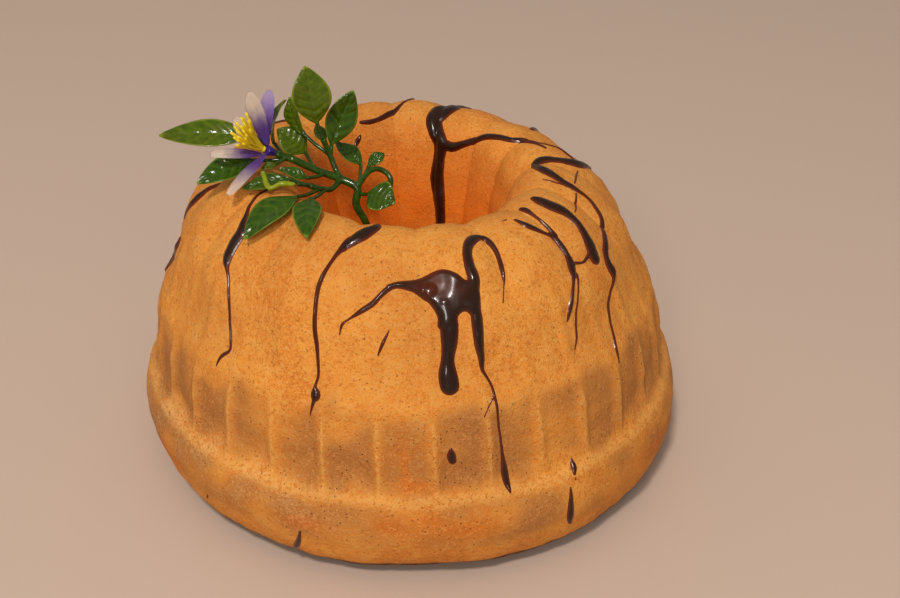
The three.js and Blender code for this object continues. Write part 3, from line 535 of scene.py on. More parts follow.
# %% Runs of chocolate: angle in degrees, distance along the crust and half width in millimetres
RUNS = [
    # Left, with a thick drop and a thin tail
    [[-63, -2, 0.6], [-62, 5, 0.8], [-59, 12, 1], [-55.5, 17, 1.6], [-52.8, 22, 2.8],
     [-52.5, 28, 3.8], [-52, 32.5, 3.2], [-50.5, 36, 1.2], [-48.5, 40, 0.8], [-46.5, 46, 0.8],
     [-45, 54, 0.7], [-43, 62, 0.8], [-43, 65, 0.9], [-44.8, 68.5, 0.9], [-45.2, 72.5, 0.5]],
    # Left of the middle, from the rim of the hole
    [[-9.5, -2.5, 1.4], [-11, 1, 2.8], [-13.5, 5, 3.3], [-16.5, 9, 2.4], [-18.6, 13, 1.4],
     [-20, 18, 1], [-21.3, 25, 1], [-21.8, 31, 1], [-21.3, 39, 1], [-20.9, 46, 0.9],
     [-20, 54, 0.8], [-19.3, 62, 0.8], [-19.7, 66.5, 0.8], [-19.3, 69.5, 2.2], [-19.5, 72, 1.1],
     [-20, 77.5, 0.3]],
    # The arm to the left of the pool, its two drips and the loop above it
    [[-15, 46, 0.3], [-14.6, 42, 0.7], [-13.2, 39.8, 0.5], [-10.5, 36.5, 1], [-7.5, 33, 1.4],
     [-5.5, 29.5, 1.3], [-3.2, 26.5, 1.3], [-0.5, 25.2, 1.3], [3, 25.8, 2], [6.5, 28, 3.2]],
    [[10, 33, 3], [10.4, 38, 3.5], [10.4, 43, 3.1], [10, 49, 2.9], [9.4, 54, 3], [9.1, 59, 3.7],
     [9.2, 63.4, 4]],
    [[17.2, 33, 2.4], [17.2, 38, 2.3], [17, 44, 2.1], [16.8, 50, 2.1], [16.9, 55, 1.6],
     [16.7, 59, 0.9], [17.6, 62.5, 0.8], [18.4, 66.5, 0.75], [18.5, 73, 0.6], [18.6, 81, 0.6],
     [18.9, 89, 0.65], [19.1, 96, 0.9], [19.3, 101.5, 1.8], [19.4, 105, 1.8], [19.6, 109, 0.6]],
    [[17.5, 31, 2.2], [18.6, 26, 2.2], [18.7, 20, 2.1], [19.3, 15, 2.1], [21, 11, 2.1],
     [23.8, 8.2, 2.4], [26.5, 7.4, 2.2], [28.3, 9.5, 1.5], [29, 13.5, 1.2], [28.9, 18, 1.1],
     [28.2, 23, 1], [27.4, 27.5, 0.7], [26.3, 31, 0.4], [24.8, 36, 0.3]],
    # Right: two arms that meet in a drop, and their tails
    [[43.3, 5.5, 1], [44.8, 10, 1.7], [47.5, 14.5, 1.4], [50.3, 18, 1.3], [50.8, 23, 1.4],
     [50.6, 27.5, 1.7], [49.7, 31.5, 2.6], [48.7, 34.5, 2.3], [47, 37.5, 1.1], [44.5, 42, 1],
     [42.5, 46.5, 1.2], [40.7, 51, 0.6]],
    [[52, 0.5, 1.2], [52.2, 3, 1.5], [51.8, 8, 0.9], [51.8, 14, 1], [51.4, 19, 1.2]],
    [[49.8, 36.5, 0.7], [47.3, 41.5, 0.6], [45, 46.5, 0.55], [43.2, 53, 0.6], [41.8, 60, 0.6],
     [40.3, 64, 0.4]],
    # Right: a thick one
    [[60.3, 1.5, 1.6], [60.6, 5, 3.5], [61.3, 9.5, 3.2], [62.6, 14, 2.8], [62, 20, 2.5],
     [60.8, 26, 2.8], [59.4, 31.5, 3.3], [58.4, 35.5, 3.4]],
    [[51.6, 32.6, 0.9], [53.5, 33.8, 0.7], [55.5, 33.5, 0.8], [57.8, 32.6, 1]],
    # Far right: from the outer edge to the rim, back and down to a drop with a long tail
    [[106.5, 29, 1.2], [104, 23, 2.2], [101, 17, 2.6], [99.5, 10, 2.4], [98.3, 4, 2.4],
     [97, -1, 2.5], [94.5, -3.6, 2.4], [90, -2, 2.3], [86, 0.5, 2.5], [82.5, 4, 2.5],
     [80.5, 8, 2.1], [79.3, 12, 1.9], [78.8, 17, 1.4], [78.5, 21, 1.2], [76.8, 26, 1.3],
     [74.3, 30, 1.5], [71, 32.5, 1.5], [67, 35, 1.8], [63.9, 37.8, 2.2], [62.3, 41, 2.8],
     [62.3, 44.5, 3], [61.3, 47.5, 1.4], [59.3, 51, 0.8], [56.5, 54.5, 0.8], [54.8, 60, 0.75],
     [54, 66, 0.8], [52.4, 71, 0.8], [51.5, 76.5, 0.5]],
    # Down the far wall of the hole from behind the crown, with an arm to the right
    [[159, 9, 2.5], [161, 3, 4.2], [163.5, -3, 4.4], [165, -8, 3.8], [163, -13, 3.4],
     [159.5, -18.5, 3.8], [160, -26, 3.4], [160.5, -34, 3.2], [158.5, -43, 3],
     [157, -51, 2.7], [156.5, -59, 1.6]],
    [[158, -18, 2.4], [152, -18.5, 2.2], [146, -16, 1.8], [141, -13, 1.7], [135, -9.5, 1.9],
     [128, -7, 2.2], [122, -4.5, 1.9], [117.5, -1, 1.3], [112, 3, 1.2], [107, 5, 0.8]],
    [[121, -4, 1], [117, 4, 1], [113, 10, 0.9], [108, 15, 1], [103, 18, 0.8]],
    # Behind the sprig, on the far rim
    [[178, 9, 0.7], [181, 2, 1], [184, -3, 1.3], [188, -6.5, 1.4], [193, -9, 1.4],
     [198, -10, 1.3], [202.5, -9.5, 1]],
    [[209, -20.3, 0.8], [207, -17.5, 1.2], [204.8, -15, 0.6]],
    # On the left outline
    [[-85, 20, 0.7], [-87, 28, 1.6], [-88, 35, 1.8], [-89.5, 41, 1.3], [-91, 47, 0.6]],
    [[-84, 50, 0.9], [-85.5, 55, 1.9], [-88, 61, 2.2], [-89.5, 67, 1.9], [-90.5, 73, 0.9]],
    # Separate drops on the front
    [[8.4, 88, 0.6], [8.4, 91, 1.7], [8.6, 93.4, 1.6]],
    [[34.5, 104.5, 0.6], [34.3, 107.5, 1.4], [33.8, 110, 0.8]],
    [[33.8, 111.9, 0.5], [33.7, 112.2, 0.5]],
    [[32.2, 114.5, 0.6], [31.9, 121, 1.5], [31.9, 127, 1.6], [32.1, 131, 1]],
    [[-21.7, 127, 0.7], [-22.6, 133, 1.2], [-24.2, 139.5, 1.2]],
    # On the side away from the photograph
    [[159, 9, 2.5], [157, 16, 2], [156, 25, 1.8], [157, 34, 1.7], [158, 43, 2.6],
     [158, 48, 2.8], [157.5, 52, 1.3], [157, 60, 0.8], [156, 68, 0.6]],
    [[178, 9, 0.7], [176.5, 17, 1.2], [177, 26, 1.2], [178.5, 36, 1], [179, 46, 1],
     [178.5, 53, 1.8], [178.4, 57, 1]],
    [[-128, 6, 1], [-127, 14, 2.2], [-128.5, 22, 2.6], [-131, 30, 2.6], [-132, 38, 3.2],
     [-131.5, 43, 3], [-131, 48, 1.2], [-130, 58, 0.8], [-129.5, 68, 0.6]],
    [[128, 14, 1.3], [131, 20, 2], [132.5, 28, 1.5], [132, 38, 1.2], [131, 50, 1.1],
     [131.5, 62, 1], [131, 72, 1.7], [130.8, 76, 0.9]],
    # Thin smears too slight for the solid
    [[-3.5, 42.5, 0.4], [-4.8, 47, 0.8], [-6, 52, 0.4]],
    [[18.2, 69.5, 0.5], [16.9, 72.5, 0.45], [15.5, 76.5, 0.3]],
    [[78.2, 0, 0.4], [77.8, 4, 0.5], [78.6, 9, 0.4]],
    [[97, 17.5, 0.5], [90, 14.5, 0.6], [83, 13, 0.5]],
    [[77, 14.5, 0.5], [71, 16.5, 0.6], [66, 17.5, 0.4]],
    [[38.5, 3.5, 0.3], [40.5, 3.5, 0.5]],
    [[-45, 130, 0.4], [-45.8, 133, 0.6]],
    [[-52, 146, 0.5], [-52.4, 147, 0.5]],
]
# The outline of the pool in front
POOL = [[-4, 25.6], [-1, 24.2], [3, 23], [6, 21.6], [8.5, 20.2], [10.8, 19.7], [13, 20.8],
        [15, 22.8], [16.4, 25.2], [18.6, 25.6], [19.4, 29], [19.2, 33], [18.4, 37],
        [16, 38.2], [14.8, 36.8], [13.4, 37.4], [12.4, 39.5], [12.2, 42], [8, 42], [8, 38],
        [7, 34], [5.2, 30.6], [2.6, 28.2], [-1, 26.9], [-4, 26.8]]
print(len(RUNS), "runs of chocolate")


# %% Smooth runs
def smooth_run(run, pieces=5):
    """A run's places with more between them, on a smooth curve that passes through each."""
    stops = np.array(run, float)
    padded = np.vstack([2 * stops[0] - stops[1], stops, 2 * stops[-1] - stops[-2]])
    t = np.arange(pieces)[:, None] / pieces
    out = []
    for a, b, c, d in zip(padded, padded[1:], padded[2:], padded[3:]):
        out.append(0.5 * (2 * b + (c - a) * t + (2 * a - 5 * b + 4 * c - d) * t ** 2
                          + (3 * b - a - 3 * c + d) * t ** 3))
    return np.vstack(out + [stops[-1:]])


print("places on the first run:", len(RUNS[0]), "made", len(smooth_run(RUNS[0])))

# %% Grid of the film
FILM_STEP = 0.45
FILM_LOW, FILM_HIGH = -64.0, 150.0
FILM_COLUMNS = 1500
BELOW = -3.0
OUTSIDE_SLOPE = 1.2
LEAST_HEIGHT = 0.4
HEIGHT_PER_HALF_WIDTH = 0.34
MOST_HEIGHT = 1.9
LEAST_ROUNDING, EDGE_WIDTH = 0.5, 3.2
REACH = 1.4
WOBBLE, WOBBLE_STEPS = 0.08, (0.41, 0.17)
THINNER, THINNEST = 0.15, 0.25
MELD, MELD_FROM = 0.9, -0.6
POOL_HEIGHT = 1.5
POOL_EDGE = 2.4
POOL_THIN = (-1.0, -6.0, 6.5)
POOL_SINK = 0.62
POOL_ROOM = (18, 16)
film_angles = -180 + np.arange(FILM_COLUMNS) * 360 / FILM_COLUMNS
film_alongs = np.arange(FILM_HIGH, FILM_LOW, -FILM_STEP)
film = np.full((len(film_alongs), FILM_COLUMNS), BELOW)
print("film grid:", film.shape)


# %% Height of the film
def dome_over(inside, top, rounding):
    """The film's height at a distance inside its edge: the quarter of a sine wave up to its top,
    and outside the edge a slope down below the crust."""
    dome = top * np.sin(np.clip(inside / rounding, 0, 1) * np.pi / 2)
    return np.where(inside > 0, dome, inside * OUTSIDE_SLOPE)


def along_line(x, y, dx, dy):
    """How far along a line from the origin each point lies, as a share from 0 to 1."""
    return np.clip((x * dx + y * dy) / max(dx * dx + dy * dy, 1e-9), 0, 1)


def flow_together(film, own):
    """The higher of two films, rounded up where they are alike, so that they run together."""
    meld = np.maximum(MELD - np.abs(film - own), 0) ** 2 / (4 * MELD)
    return np.maximum(film, own) + np.where(np.minimum(film, own) > MELD_FROM, meld, 0)


print("film 1 mm inside an edge:", dome_over(1.0, MOST_HEIGHT, EDGE_WIDTH).round(2), "mm")


# %% The pool
def add_pool(film, outline):
    """Raises the film inside a closed outline: up from its edge in a rounded step to a height
    that sinks again towards the thin upper middle."""
    stops = smooth_run(outline + outline[:1], 4)[:, :2]
    middle = stops.mean(axis=0)
    degree = np.radians(1) * section_at(middle[1])[0]
    rows = np.nonzero(np.abs(film_alongs - middle[1]) < POOL_ROOM[1])[0]
    cols = np.nonzero(np.abs(film_angles - middle[0]) < POOL_ROOM[0])[0]
    x = (film_angles[cols][None, :] - middle[0]) * degree
    y = film_alongs[rows][:, None] - middle[1]
    corners = (stops - middle) * [degree, 1]
    nearest = np.full((len(rows), len(cols)), 1e9)
    crossings = np.zeros(nearest.shape, int)
    for (x0, y0), (x1, y1) in zip(corners, np.roll(corners, -1, 0)):
        dx, dy = x1 - x0, y1 - y0
        t = along_line(x - x0, y - y0, dx, dy)
        nearest = np.minimum(nearest, np.hypot(x - x0 - t * dx, y - y0 - t * dy))
        if abs(dy) > 1e-9:
            crossings += ((y0 > y) != (y1 > y)) & (x < x0 + (y - y0) * dx / dy)
    inside = np.where(crossings % 2 == 1, nearest, -nearest)
    thin = np.exp(-((x - POOL_THIN[0]) ** 2 + (y - POOL_THIN[1]) ** 2) / POOL_THIN[2] ** 2)
    own = np.full(film.shape, BELOW)
    own[np.ix_(rows, cols)] = dome_over(inside, POOL_HEIGHT * (1 - POOL_SINK * thin), POOL_EDGE)
    return flow_together(film, own)


film = add_pool(film, POOL)
print("pool:", (film > 0).sum(), "points of the grid")


# %% The runs
def add_run(film, run, number):
    """Raises the film along one run. A point's share is 1 on the run's middle line and 0 at its
    edge, and the film's height there is the run's own height times a rounded function of how far
    inside the edge the point lies. Outside the edge the film dips below the crust."""
    stops = smooth_run(run)
    step = np.arange(len(stops))
    wobble = np.sin(step * WOBBLE_STEPS[0] + number) + np.sin(step * WOBBLE_STEPS[1])
    stops[:, 2] = np.maximum(stops[:, 2] * (1 + WOBBLE * wobble) - THINNER, THINNEST)
    widest = stops[:, 2].max() + REACH
    own = np.full(film.shape, BELOW)
    for (a0, s0, w0), (a1, s1, w1) in zip(stops, stops[1:]):
        radius = section_at((s0 + s1) / 2)[0]
        degree = np.radians(1) * radius
        rows = np.nonzero((film_alongs > min(s0, s1) - widest)
                          & (film_alongs < max(s0, s1) + widest))[0]
        middle, half = (a0 + a1) / 2, abs(a1 - a0) / 2 + widest / degree
        offset = (film_angles - middle + 180) % 360 - 180
        cols = np.nonzero(np.abs(offset) < half)[0]
        if not len(rows) or not len(cols):
            continue
        x = (offset[cols][None, :] - (a0 - middle)) * degree
        y = film_alongs[rows][:, None] - s0
        dx, dy = (a1 - a0) * degree, s1 - s0
        t = along_line(x, y, dx, dy)
        width = w0 + (w1 - w0) * t
        inside = width - np.hypot(x - t * dx, y - t * dy)
        top = np.minimum(LEAST_HEIGHT + HEIGHT_PER_HALF_WIDTH * width, MOST_HEIGHT)
        rounding = np.clip(width, LEAST_ROUNDING, EDGE_WIDTH)
        patch = np.ix_(rows, cols)
        own[patch] = np.maximum(own[patch], dome_over(inside, top, rounding))
    return flow_together(film, own)


for number, run in enumerate(RUNS):
    film = add_run(film, run, number)
print("film reaches", film.max().round(2), "mm over the crust")

# %% Chocolate mesh
FILM_EDGE = -0.35
FILM_FLOOR = -1.1
LEAST_WALL = 0.3
keep = film > FILM_EDGE
cells = keep | np.roll(keep, -1, 1)
cells = cells[:-1] | cells[1:]
# Two cells that meet at a corner alone are joined by a third, so that the edge stays whole
below, beside, across = cells[1:], np.roll(cells, -1, 1)[:-1], np.roll(cells, -1, 1)[1:]
falling, rising = cells[:-1] & across & ~beside, beside & below & ~across
cells[1:] |= falling
cells[:-1] |= rising
row_of, col_of = np.nonzero(cells)
next_col = (col_of + 1) % FILM_COLUMNS
corner_rows = np.stack([row_of, row_of + 1, row_of + 1, row_of], -1)
corner_cols = np.stack([col_of, col_of, next_col, next_col], -1)
flat_index = corner_rows * FILM_COLUMNS + corner_cols
used, compact = np.unique(flat_index, return_inverse=True)
top_faces = compact.reshape(-1, 4)
used_rows, used_cols = used // FILM_COLUMNS, used % FILM_COLUMNS
film_height = film[used_rows, used_cols]
film_angle, film_along = film_angles[used_cols], film_alongs[used_rows]
uneven = unevenness(on_crust(film_angle, film_along))
lift = np.maximum(film_height, FILM_FLOOR + LEAST_WALL)
top_points = on_crust(film_angle, film_along, uneven + lift)
low_points = on_crust(film_angle, film_along, uneven + FILM_FLOOR)
count = len(used)
edges = np.concatenate([top_faces[:, [k, (k + 1) % 4]] for k in range(4)])
keys = edges[:, 0].astype(np.int64) * count + edges[:, 1]
twins = edges[:, 1].astype(np.int64) * count + edges[:, 0]
rim = edges[~np.isin(keys, twins)]
walls = np.stack([rim[:, 1], rim[:, 0], rim[:, 0] + count, rim[:, 1] + count], -1)
film_faces = np.concatenate([top_faces, top_faces[:, ::-1] + count, walls])[:, ::-1]
print("chocolate cells:", len(top_faces), "rim edges:", len(rim))

# %% [markdown]
# ## The finish of the chocolate
# Set chocolate is dark and glossy. Where it is thick it is almost black, and where it ran thin
# the crust behind it warms it to a reddish brown. Light could be let through it, but that is
# slow and shows little, so the mesh carries the film's thickness and the colour follows it.

# %% Chocolate material
CHOCOLATE_THIN = srgb(98, 34, 8)
CHOCOLATE_THICK = srgb(40, 19, 8)
CHOCOLATE_POOL = srgb(84, 30, 2)
POOL_MIDDLE = (8.5, 26.5)
POOL_SPREAD = (6.5, 5.0)
chocolate_material, tree, shader = new_material("chocolate")
place = own_place(tree)
mottle = noise(tree, place, 260, 3)
thick = maths(tree, "ADD", mark(tree, "thickness"), maths(tree, "MULTIPLY", mottle, 0.3))
pool_share = maths(tree, "MULTIPLY", mark(tree, "pool"), ramp(tree, mottle, 0.3, 0.6, 0.55, 1.0))
fine_ripple = maths(tree, "MULTIPLY", noise(tree, place, 330, 1), 0.35)
ripple = maths(tree, "MULTIPLY_ADD", noise(tree, place, 110, 1), 2.5, fine_ripple)
colour = painted(tree, CHOCOLATE_THIN, [(ramp(tree, thick, 0.25, 1.1), CHOCOLATE_THICK),
                                        (pool_share, CHOCOLATE_POOL)])
join(tree, shader, {"Specular IOR Level": 0.15, "Coat Weight": 0.4, "Coat Roughness": 0.12},
     Base_Color=colour, Roughness=ramp(tree, mottle, 0.3, 0.7, 0.25, 0.4),
     Normal=bumped(tree, ripple, 0.5, 0.0004))
print("chocolate material:", len(tree.nodes), "nodes")

# %% Chocolate piece
pool_at = np.exp(-((film_angle - POOL_MIDDLE[0]) / POOL_SPREAD[0]) ** 2
                 - ((film_along - POOL_MIDDLE[1]) / POOL_SPREAD[1]) ** 2)
new_piece(
    "chocolate", np.vstack([top_points, low_points]), film_faces, ["cake"],
    chocolate_material, {"thickness": np.tile(np.maximum(film_height, 0), 2),
                         "pool": np.tile(pool_at, 2)})

# %% [markdown]
# ## The leaves
# Each leaf is moulded plastic: pointed, a little folded along its midrib, wavy at its edge, with
# the midrib and the side veins pressed in. A flat sheet with a Solidify modifier could do for it,
# with edges as thick as the middle. Here a grid of two measures carries it, from foot to tip and
# from edge to edge, and goes round its upper and its lower side, so that it closes in a thin
# edge.

# %% Leaf surface
LEAF_GAP = 1.0
LEAF_THICKNESS = 0.8
FOLD = 0.14
LEAF_WAVE = 0.35
WAVES = 9.0
WAVE_SKEW = 2.0
VEIN_PAIRS = 6
VEIN_SLANT = 1.1
VEIN_START = 0.3
VEIN_WIDTH, VEIN_DEPTH = 0.13, 0.8
MIDRIB_WIDTH, MIDRIB_DEPTH = 0.07, 1.0
PILLOW = 0.9
LEAF_ROWS = 40
LEAF_COLUMNS = 21


def unit(vector):
    """A vector brought to the length 1."""
    return np.asarray(vector, float) / np.linalg.norm(vector)


def blade(foot, tip, face, gap, outline, lift, thickness, wave, veins=0.0):
    """A thin closed blade in metres, with its uv. From foot to tip it follows a straight line
    plus its lift along the way it faces; across, it spans its outline's half width, and rises
    towards both edges by a fold and a ripple. Its two sides stand apart by a lens-shaped
    thickness. Veins sink along the middle and along slanting lines to each side."""
    foot, tip = np.array(foot, float), np.array(tip, float)
    length = np.linalg.norm(tip - foot)
    axis = (tip - foot) / length
    across = unit(np.cross(face, axis))
    normal = unit(np.cross(axis, across))
    t = np.linspace(0, 1, LEAF_ROWS)[:, None]
    v_top = np.linspace(-1, 1, LEAF_COLUMNS)
    v = np.concatenate([v_top, v_top[-2:0:-1]])[None, :]
    upper = np.concatenate([np.ones(LEAF_COLUMNS), -np.ones(LEAF_COLUMNS - 2)])[None, :]
    half = outline(t)
    ripple = wave * np.sin(WAVES * t + WAVE_SKEW * v) * np.abs(v)
    body = upper * thickness * (1 - v * v) / 2
    midrib = np.exp(-(v / MIDRIB_WIDTH) ** 2)
    slant = (t * VEIN_PAIRS - np.abs(v) * VEIN_SLANT + VEIN_START) % 1
    side_veins = np.exp(-((slant - 0.5) / VEIN_WIDTH) ** 2) * (1 - np.abs(v)) ** 0.5
    side_veins = side_veins * (np.abs(v) > MIDRIB_WIDTH)
    pillow = 0.5 - 0.5 * np.cos(2 * np.pi * (slant - 0.5))
    pressed = veins * (pillow * PILLOW * np.abs(v) ** 0.6 - VEIN_DEPTH * side_veins
                       - MIDRIB_DEPTH * midrib)
    rise = lift(t) + FOLD * np.abs(v) * half + ripple + body + pressed * (1 - np.abs(v) ** 4)
    points = (foot + (gap + t[..., None] * (length - gap)) * axis
              + (v * half)[..., None] * across + rise[..., None] * normal)
    uv = np.stack(np.broadcast_arrays(v * 0.5 + 0.5, t), -1)
    return points * MM, uv


def closed_faces(rows, ring):
    """Faces of a tube of rings with a flat end on each, as one face of many corners."""
    ends = [list(range(ring)), list(range((rows - 1) * ring, rows * ring))[::-1]]
    return [list(face) for face in grid_faces(rows, ring, False, True)] + ends


print("faces of a leaf:", len(closed_faces(LEAF_ROWS, 2 * LEAF_COLUMNS - 2)))

# %% Places of the leaves
# Name, foot, tip, the way it faces, width and how far it bows, in millimetres
LEAVES = [
    ["leaf_a", [-62, 1, 136], [-102, 4, 134.5], [0, -0.6, 0.8], 12.5, 1.5],
    ["leaf_b", [-62, -10, 131.2], [-84, -22, 126], [-0.2, -0.6, 0.75], 11.5, 1.5],
    ["leaf_c", [-56, 0, 131.5], [-51, 6, 149.5], [-0.9, -0.3, 0.2], 8, 2.5],
    ["leaf_d", [-37.5, -8, 144.5], [-41.5, -6, 168.5], [0.1, -0.95, 0.3], 15.5, 1.2],
    ["leaf_e", [-43.8, -3, 138], [-49, 4, 151.5], [-0.7, -0.6, 0.3], 9, 1.5],
    ["leaf_f", [-33, -5.5, 134], [-23.5, 0, 156], [0.3, -0.9, 0.3], 12.5, -1],
    ["leaf_g", [-42, -2, 129.5], [-54, 0, 139.5], [0.3, -0.8, 0.5], 12, 1.2],
    ["leaf_h", [-20, 2, 122], [-31.5, 10, 129], [0.2, -0.5, 0.85], 8, 1],
    ["leaf_i", [-18.5, -9, 127], [-11.5, -4, 131], [-0.4, -0.8, 0.4], 5.5, 0.8],
    ["leaf_j", [-18.5, -20.5, 121.5], [-7, -28, 120.5], [0.1, -0.7, 0.7], 13.5, 1.5],
    ["leaf_k", [-43.3, -37, 128.8], [-62.5, -56, 119.8], [-0.2, -0.3, 0.9], 13.5, 2.6],
    ["leaf_l", [-39.3, -37, 127.6], [-38.8, -64, 124.8], [-0.05, -0.25, 0.97], 11, 2.6],
    ["leaf_m", [-46, -27, 131], [-65.5, -30, 127.8], [0, -0.5, 0.85], 7, 1],
    ["leaf_n", [-40, -20, 127], [-52, -19.5, 131.3], [0, -0.5, 0.85], 5, 0.6],
    ["leaf_o", [-34.5, -3, 134.5], [-39, 3, 140], [0.2, -0.9, 0.3], 5, 0.5],
    ["sepal", [-53, -15, 131.6], [-59, -19, 130.6], [-0.2, -0.6, 0.75], 3.6, 0.4],
]
print(len(LEAVES), "leaves")

# %% [markdown]
# ## The finish of the leaves
# The leaves are glossy, deep green along the middle, mottled with olive, and yellowish along
# their edges and at their tips, where the mould left the plastic thin. Each colour could be a
# material of its own. Because the stem, the cup and the bud are of the same plastic, the pattern
# is a node group, built once, and every material gives it its own colours.

# %% Node group helpers
def new_group(name, inputs, outputs):
    """An empty shader node group with named inputs and outputs, and the nodes at its two ends."""
    group = bpy.data.node_groups.new(name, "ShaderNodeTree")
    for way, sockets in (("INPUT", inputs), ("OUTPUT", outputs)):
        for label, kind in sockets.items():
            group.interface.new_socket(label, in_out=way, socket_type="NodeSocket" + kind)
    start, end = group.nodes.new("NodeGroupInput"), group.nodes.new("NodeGroupOutput")
    return group, start.outputs, end


def finish_from(group, name, plain, **given):
    """A material whose shader gets all that a node group puts out for its own values."""
    material, tree, shader = new_material(name)
    mixed = node(tree, "Group", {"node_tree": group}, **given)
    join(tree, shader, plain, **{socket.name: socket for socket in mixed.outputs})
    return material


print("groups so far:", len(bpy.data.node_groups))

# %% Moulded plastic
moulded_plastic, given, end = new_group(
    "moulded_plastic",
    {"Deep": "Color", "Fresh": "Color", "Olive": "Color", "Edge": "Color", "Blade": "Float"},
    {"Base Color": "Color", "Roughness": "Float", "Normal": "Vector"})
tree = moulded_plastic
place = own_place(tree)
split = node(tree, "SeparateXYZ", None, Vector=node(tree, "UVMap", {"uv_map": "blade"}).outputs[0])
across = maths(tree, "ABSOLUTE", maths(tree, "MULTIPLY_ADD", split.outputs[0], 2.0, -1.0))
upward = split.outputs[1]
patch = noise(tree, place, 95, 3, 0.6)
streak = noise(tree, place, 450, 3)
slanting = maths(tree, "MULTIPLY_ADD", across, -VEIN_SLANT, VEIN_START)
between = maths(tree, "FRACT", maths(tree, "MULTIPLY_ADD", upward, VEIN_PAIRS, slanting))
from_vein = maths(tree, "ABSOLUTE", maths(tree, "SUBTRACT", between, 0.5))
rim = maths(tree, "MAXIMUM", ramp(tree, across, 0.86, 0.98), ramp(tree, upward, 0.93, 1.0))
on_blade = [maths(tree, "MULTIPLY", share, given["Blade"]) for share in (
    ramp(tree, across, 0.02, 0.1, 0.5, 0.0), ramp(tree, from_vein, 0.3, 0.0, 0.0, 0.12), rim)]
colour = painted(tree, given["Deep"], [
    (ramp(tree, streak, 0.2, 0.8), given["Fresh"]),
    (ramp(tree, patch, 0.48, 0.72, 0, 0.35), given["Olive"]),
    *zip(on_blade, (given["Fresh"], given["Edge"], given["Edge"]))])
join(tree, end, {}, Base_Color=colour, Roughness=ramp(tree, patch, 0.3, 0.7, 0.14, 0.26),
     Normal=bumped(tree, streak, 0.3, 0.0003))
print("plastic group:", len(tree.nodes), "nodes")

# %% Leaf materials
PLASTIC_GLOSS = {"Specular IOR Level": 0.12, "Coat Weight": 0.45, "Coat Roughness": 0.12}
LEAF_DEEP = srgb(54, 74, 2)
LEAF_FRESH = srgb(80, 100, 4)
LEAF_OLIVE = srgb(94, 84, 8)
LEAF_EDGE = srgb(132, 146, 34)


def plastic_finish(name, deep, fresh, olive, edge, blade_share=1.0):
    """Moulded plastic in its own greens or violets. The blade share says how far the midrib and
    the pale edge show."""
    return finish_from(moulded_plastic, name, PLASTIC_GLOSS, Deep=deep, Fresh=fresh, Olive=olive,
                       Edge=edge, Blade=blade_share)


leaf_material = plastic_finish("leaf", LEAF_DEEP, LEAF_FRESH, LEAF_OLIVE, LEAF_EDGE)
green_leaf = plastic_finish("leaf_green", srgb(34, 60, 2), srgb(54, 86, 4), srgb(66, 74, 6),
                            srgb(112, 140, 36))
GREENER = ["leaf_" + letter for letter in "bfhijklmn"]
print(len(GREENER), "of the leaves are greener")

# %% Leaf pieces
for name, foot, tip, face, width, bend in LEAVES:
    def outline(t, width=width):
        """Half width: a fuller curve than a sine, widest at the middle, pointed at the tip."""
        shape = np.clip(np.sin(np.pi * t ** 0.97), 0, 1) ** 0.9
        return 0.3 + (width / 2 - 0.3) * shape

    def lift(t, bend=bend):
        """A parabola from foot to tip, as high as the bend in the middle."""
        return 4 * bend * t * (1 - t)

    points, uv = blade(foot, tip, face, LEAF_GAP, outline, lift, LEAF_THICKNESS, LEAF_WAVE, 0.35)
    new_piece(name + "_blade", points, closed_faces(LEAF_ROWS, points.shape[1]), [name],
              green_leaf if name in GREENER else leaf_material, uv=uv)


# %% [markdown]
# ## The stem
# The stem, its side shoots and its twigs are tubes along smooth curves. Curve objects with a
# bevel could be such tubes. Rings of points worked out here are as quick, and each tube swells a
# little at its foot, as a moulded joint does. Together they are one piece.

# %% Tubes
TUBE_END = 0.6


def curve_through(stops, count):
    """Places on a smooth curve through the stops, evenly along it."""
    dense = smooth_run(stops, 24)
    reach = np.concatenate([[0], np.cumsum(np.linalg.norm(np.diff(dense, axis=0), axis=1))])
    even = np.linspace(0, reach[-1], count)
    return np.stack([np.interp(even, reach, dense[:, k]) for k in range(3)], -1)


def tube(stops, radius, count=40, sides=14):
    """A closed tube in millimetres along a curve: a circle carried square to the curve, with a
    radius that may change on the way, and drawn in at both ends."""
    path = curve_through(stops, count)
    along = unit_rows(np.gradient(path, axis=0))
    start = unit(np.cross(along[0], [0.3, 0.2, 1.0]))
    frame_rows = [start]
    for heading in along[1:]:
        last = frame_rows[-1]
        frame_rows.append(unit(last - heading * (last @ heading)))
    first = np.array(frame_rows)
    second = np.cross(along, first)
    around = np.linspace(0, 2 * np.pi, sides, endpoint=False)
    t = np.linspace(0, 1, count)
    size = radius(t) if callable(radius) else np.full(count, float(radius))
    size[[0, -1]] *= TUBE_END
    ring = (first[:, None] * np.cos(around)[None, :, None]
            + second[:, None] * np.sin(around)[None, :, None])
    return path[:, None] + ring * size[:, None, None]


def join_tubes(tubes):
    """Several closed tubes as one list of points and faces."""
    points, faces, start = [], [], 0
    for each in tubes:
        rows, ring = each.shape[:2]
        points.append(each.reshape(-1, 3))
        faces += [[index + start for index in face[::-1]] for face in closed_faces(rows, ring)]
        start += rows * ring
    return np.vstack(points) * MM, faces


print("rings of a straight tube:", tube([[0, 0, 0], [0, 0, 5], [0, 0, 9]], 1.0).shape)

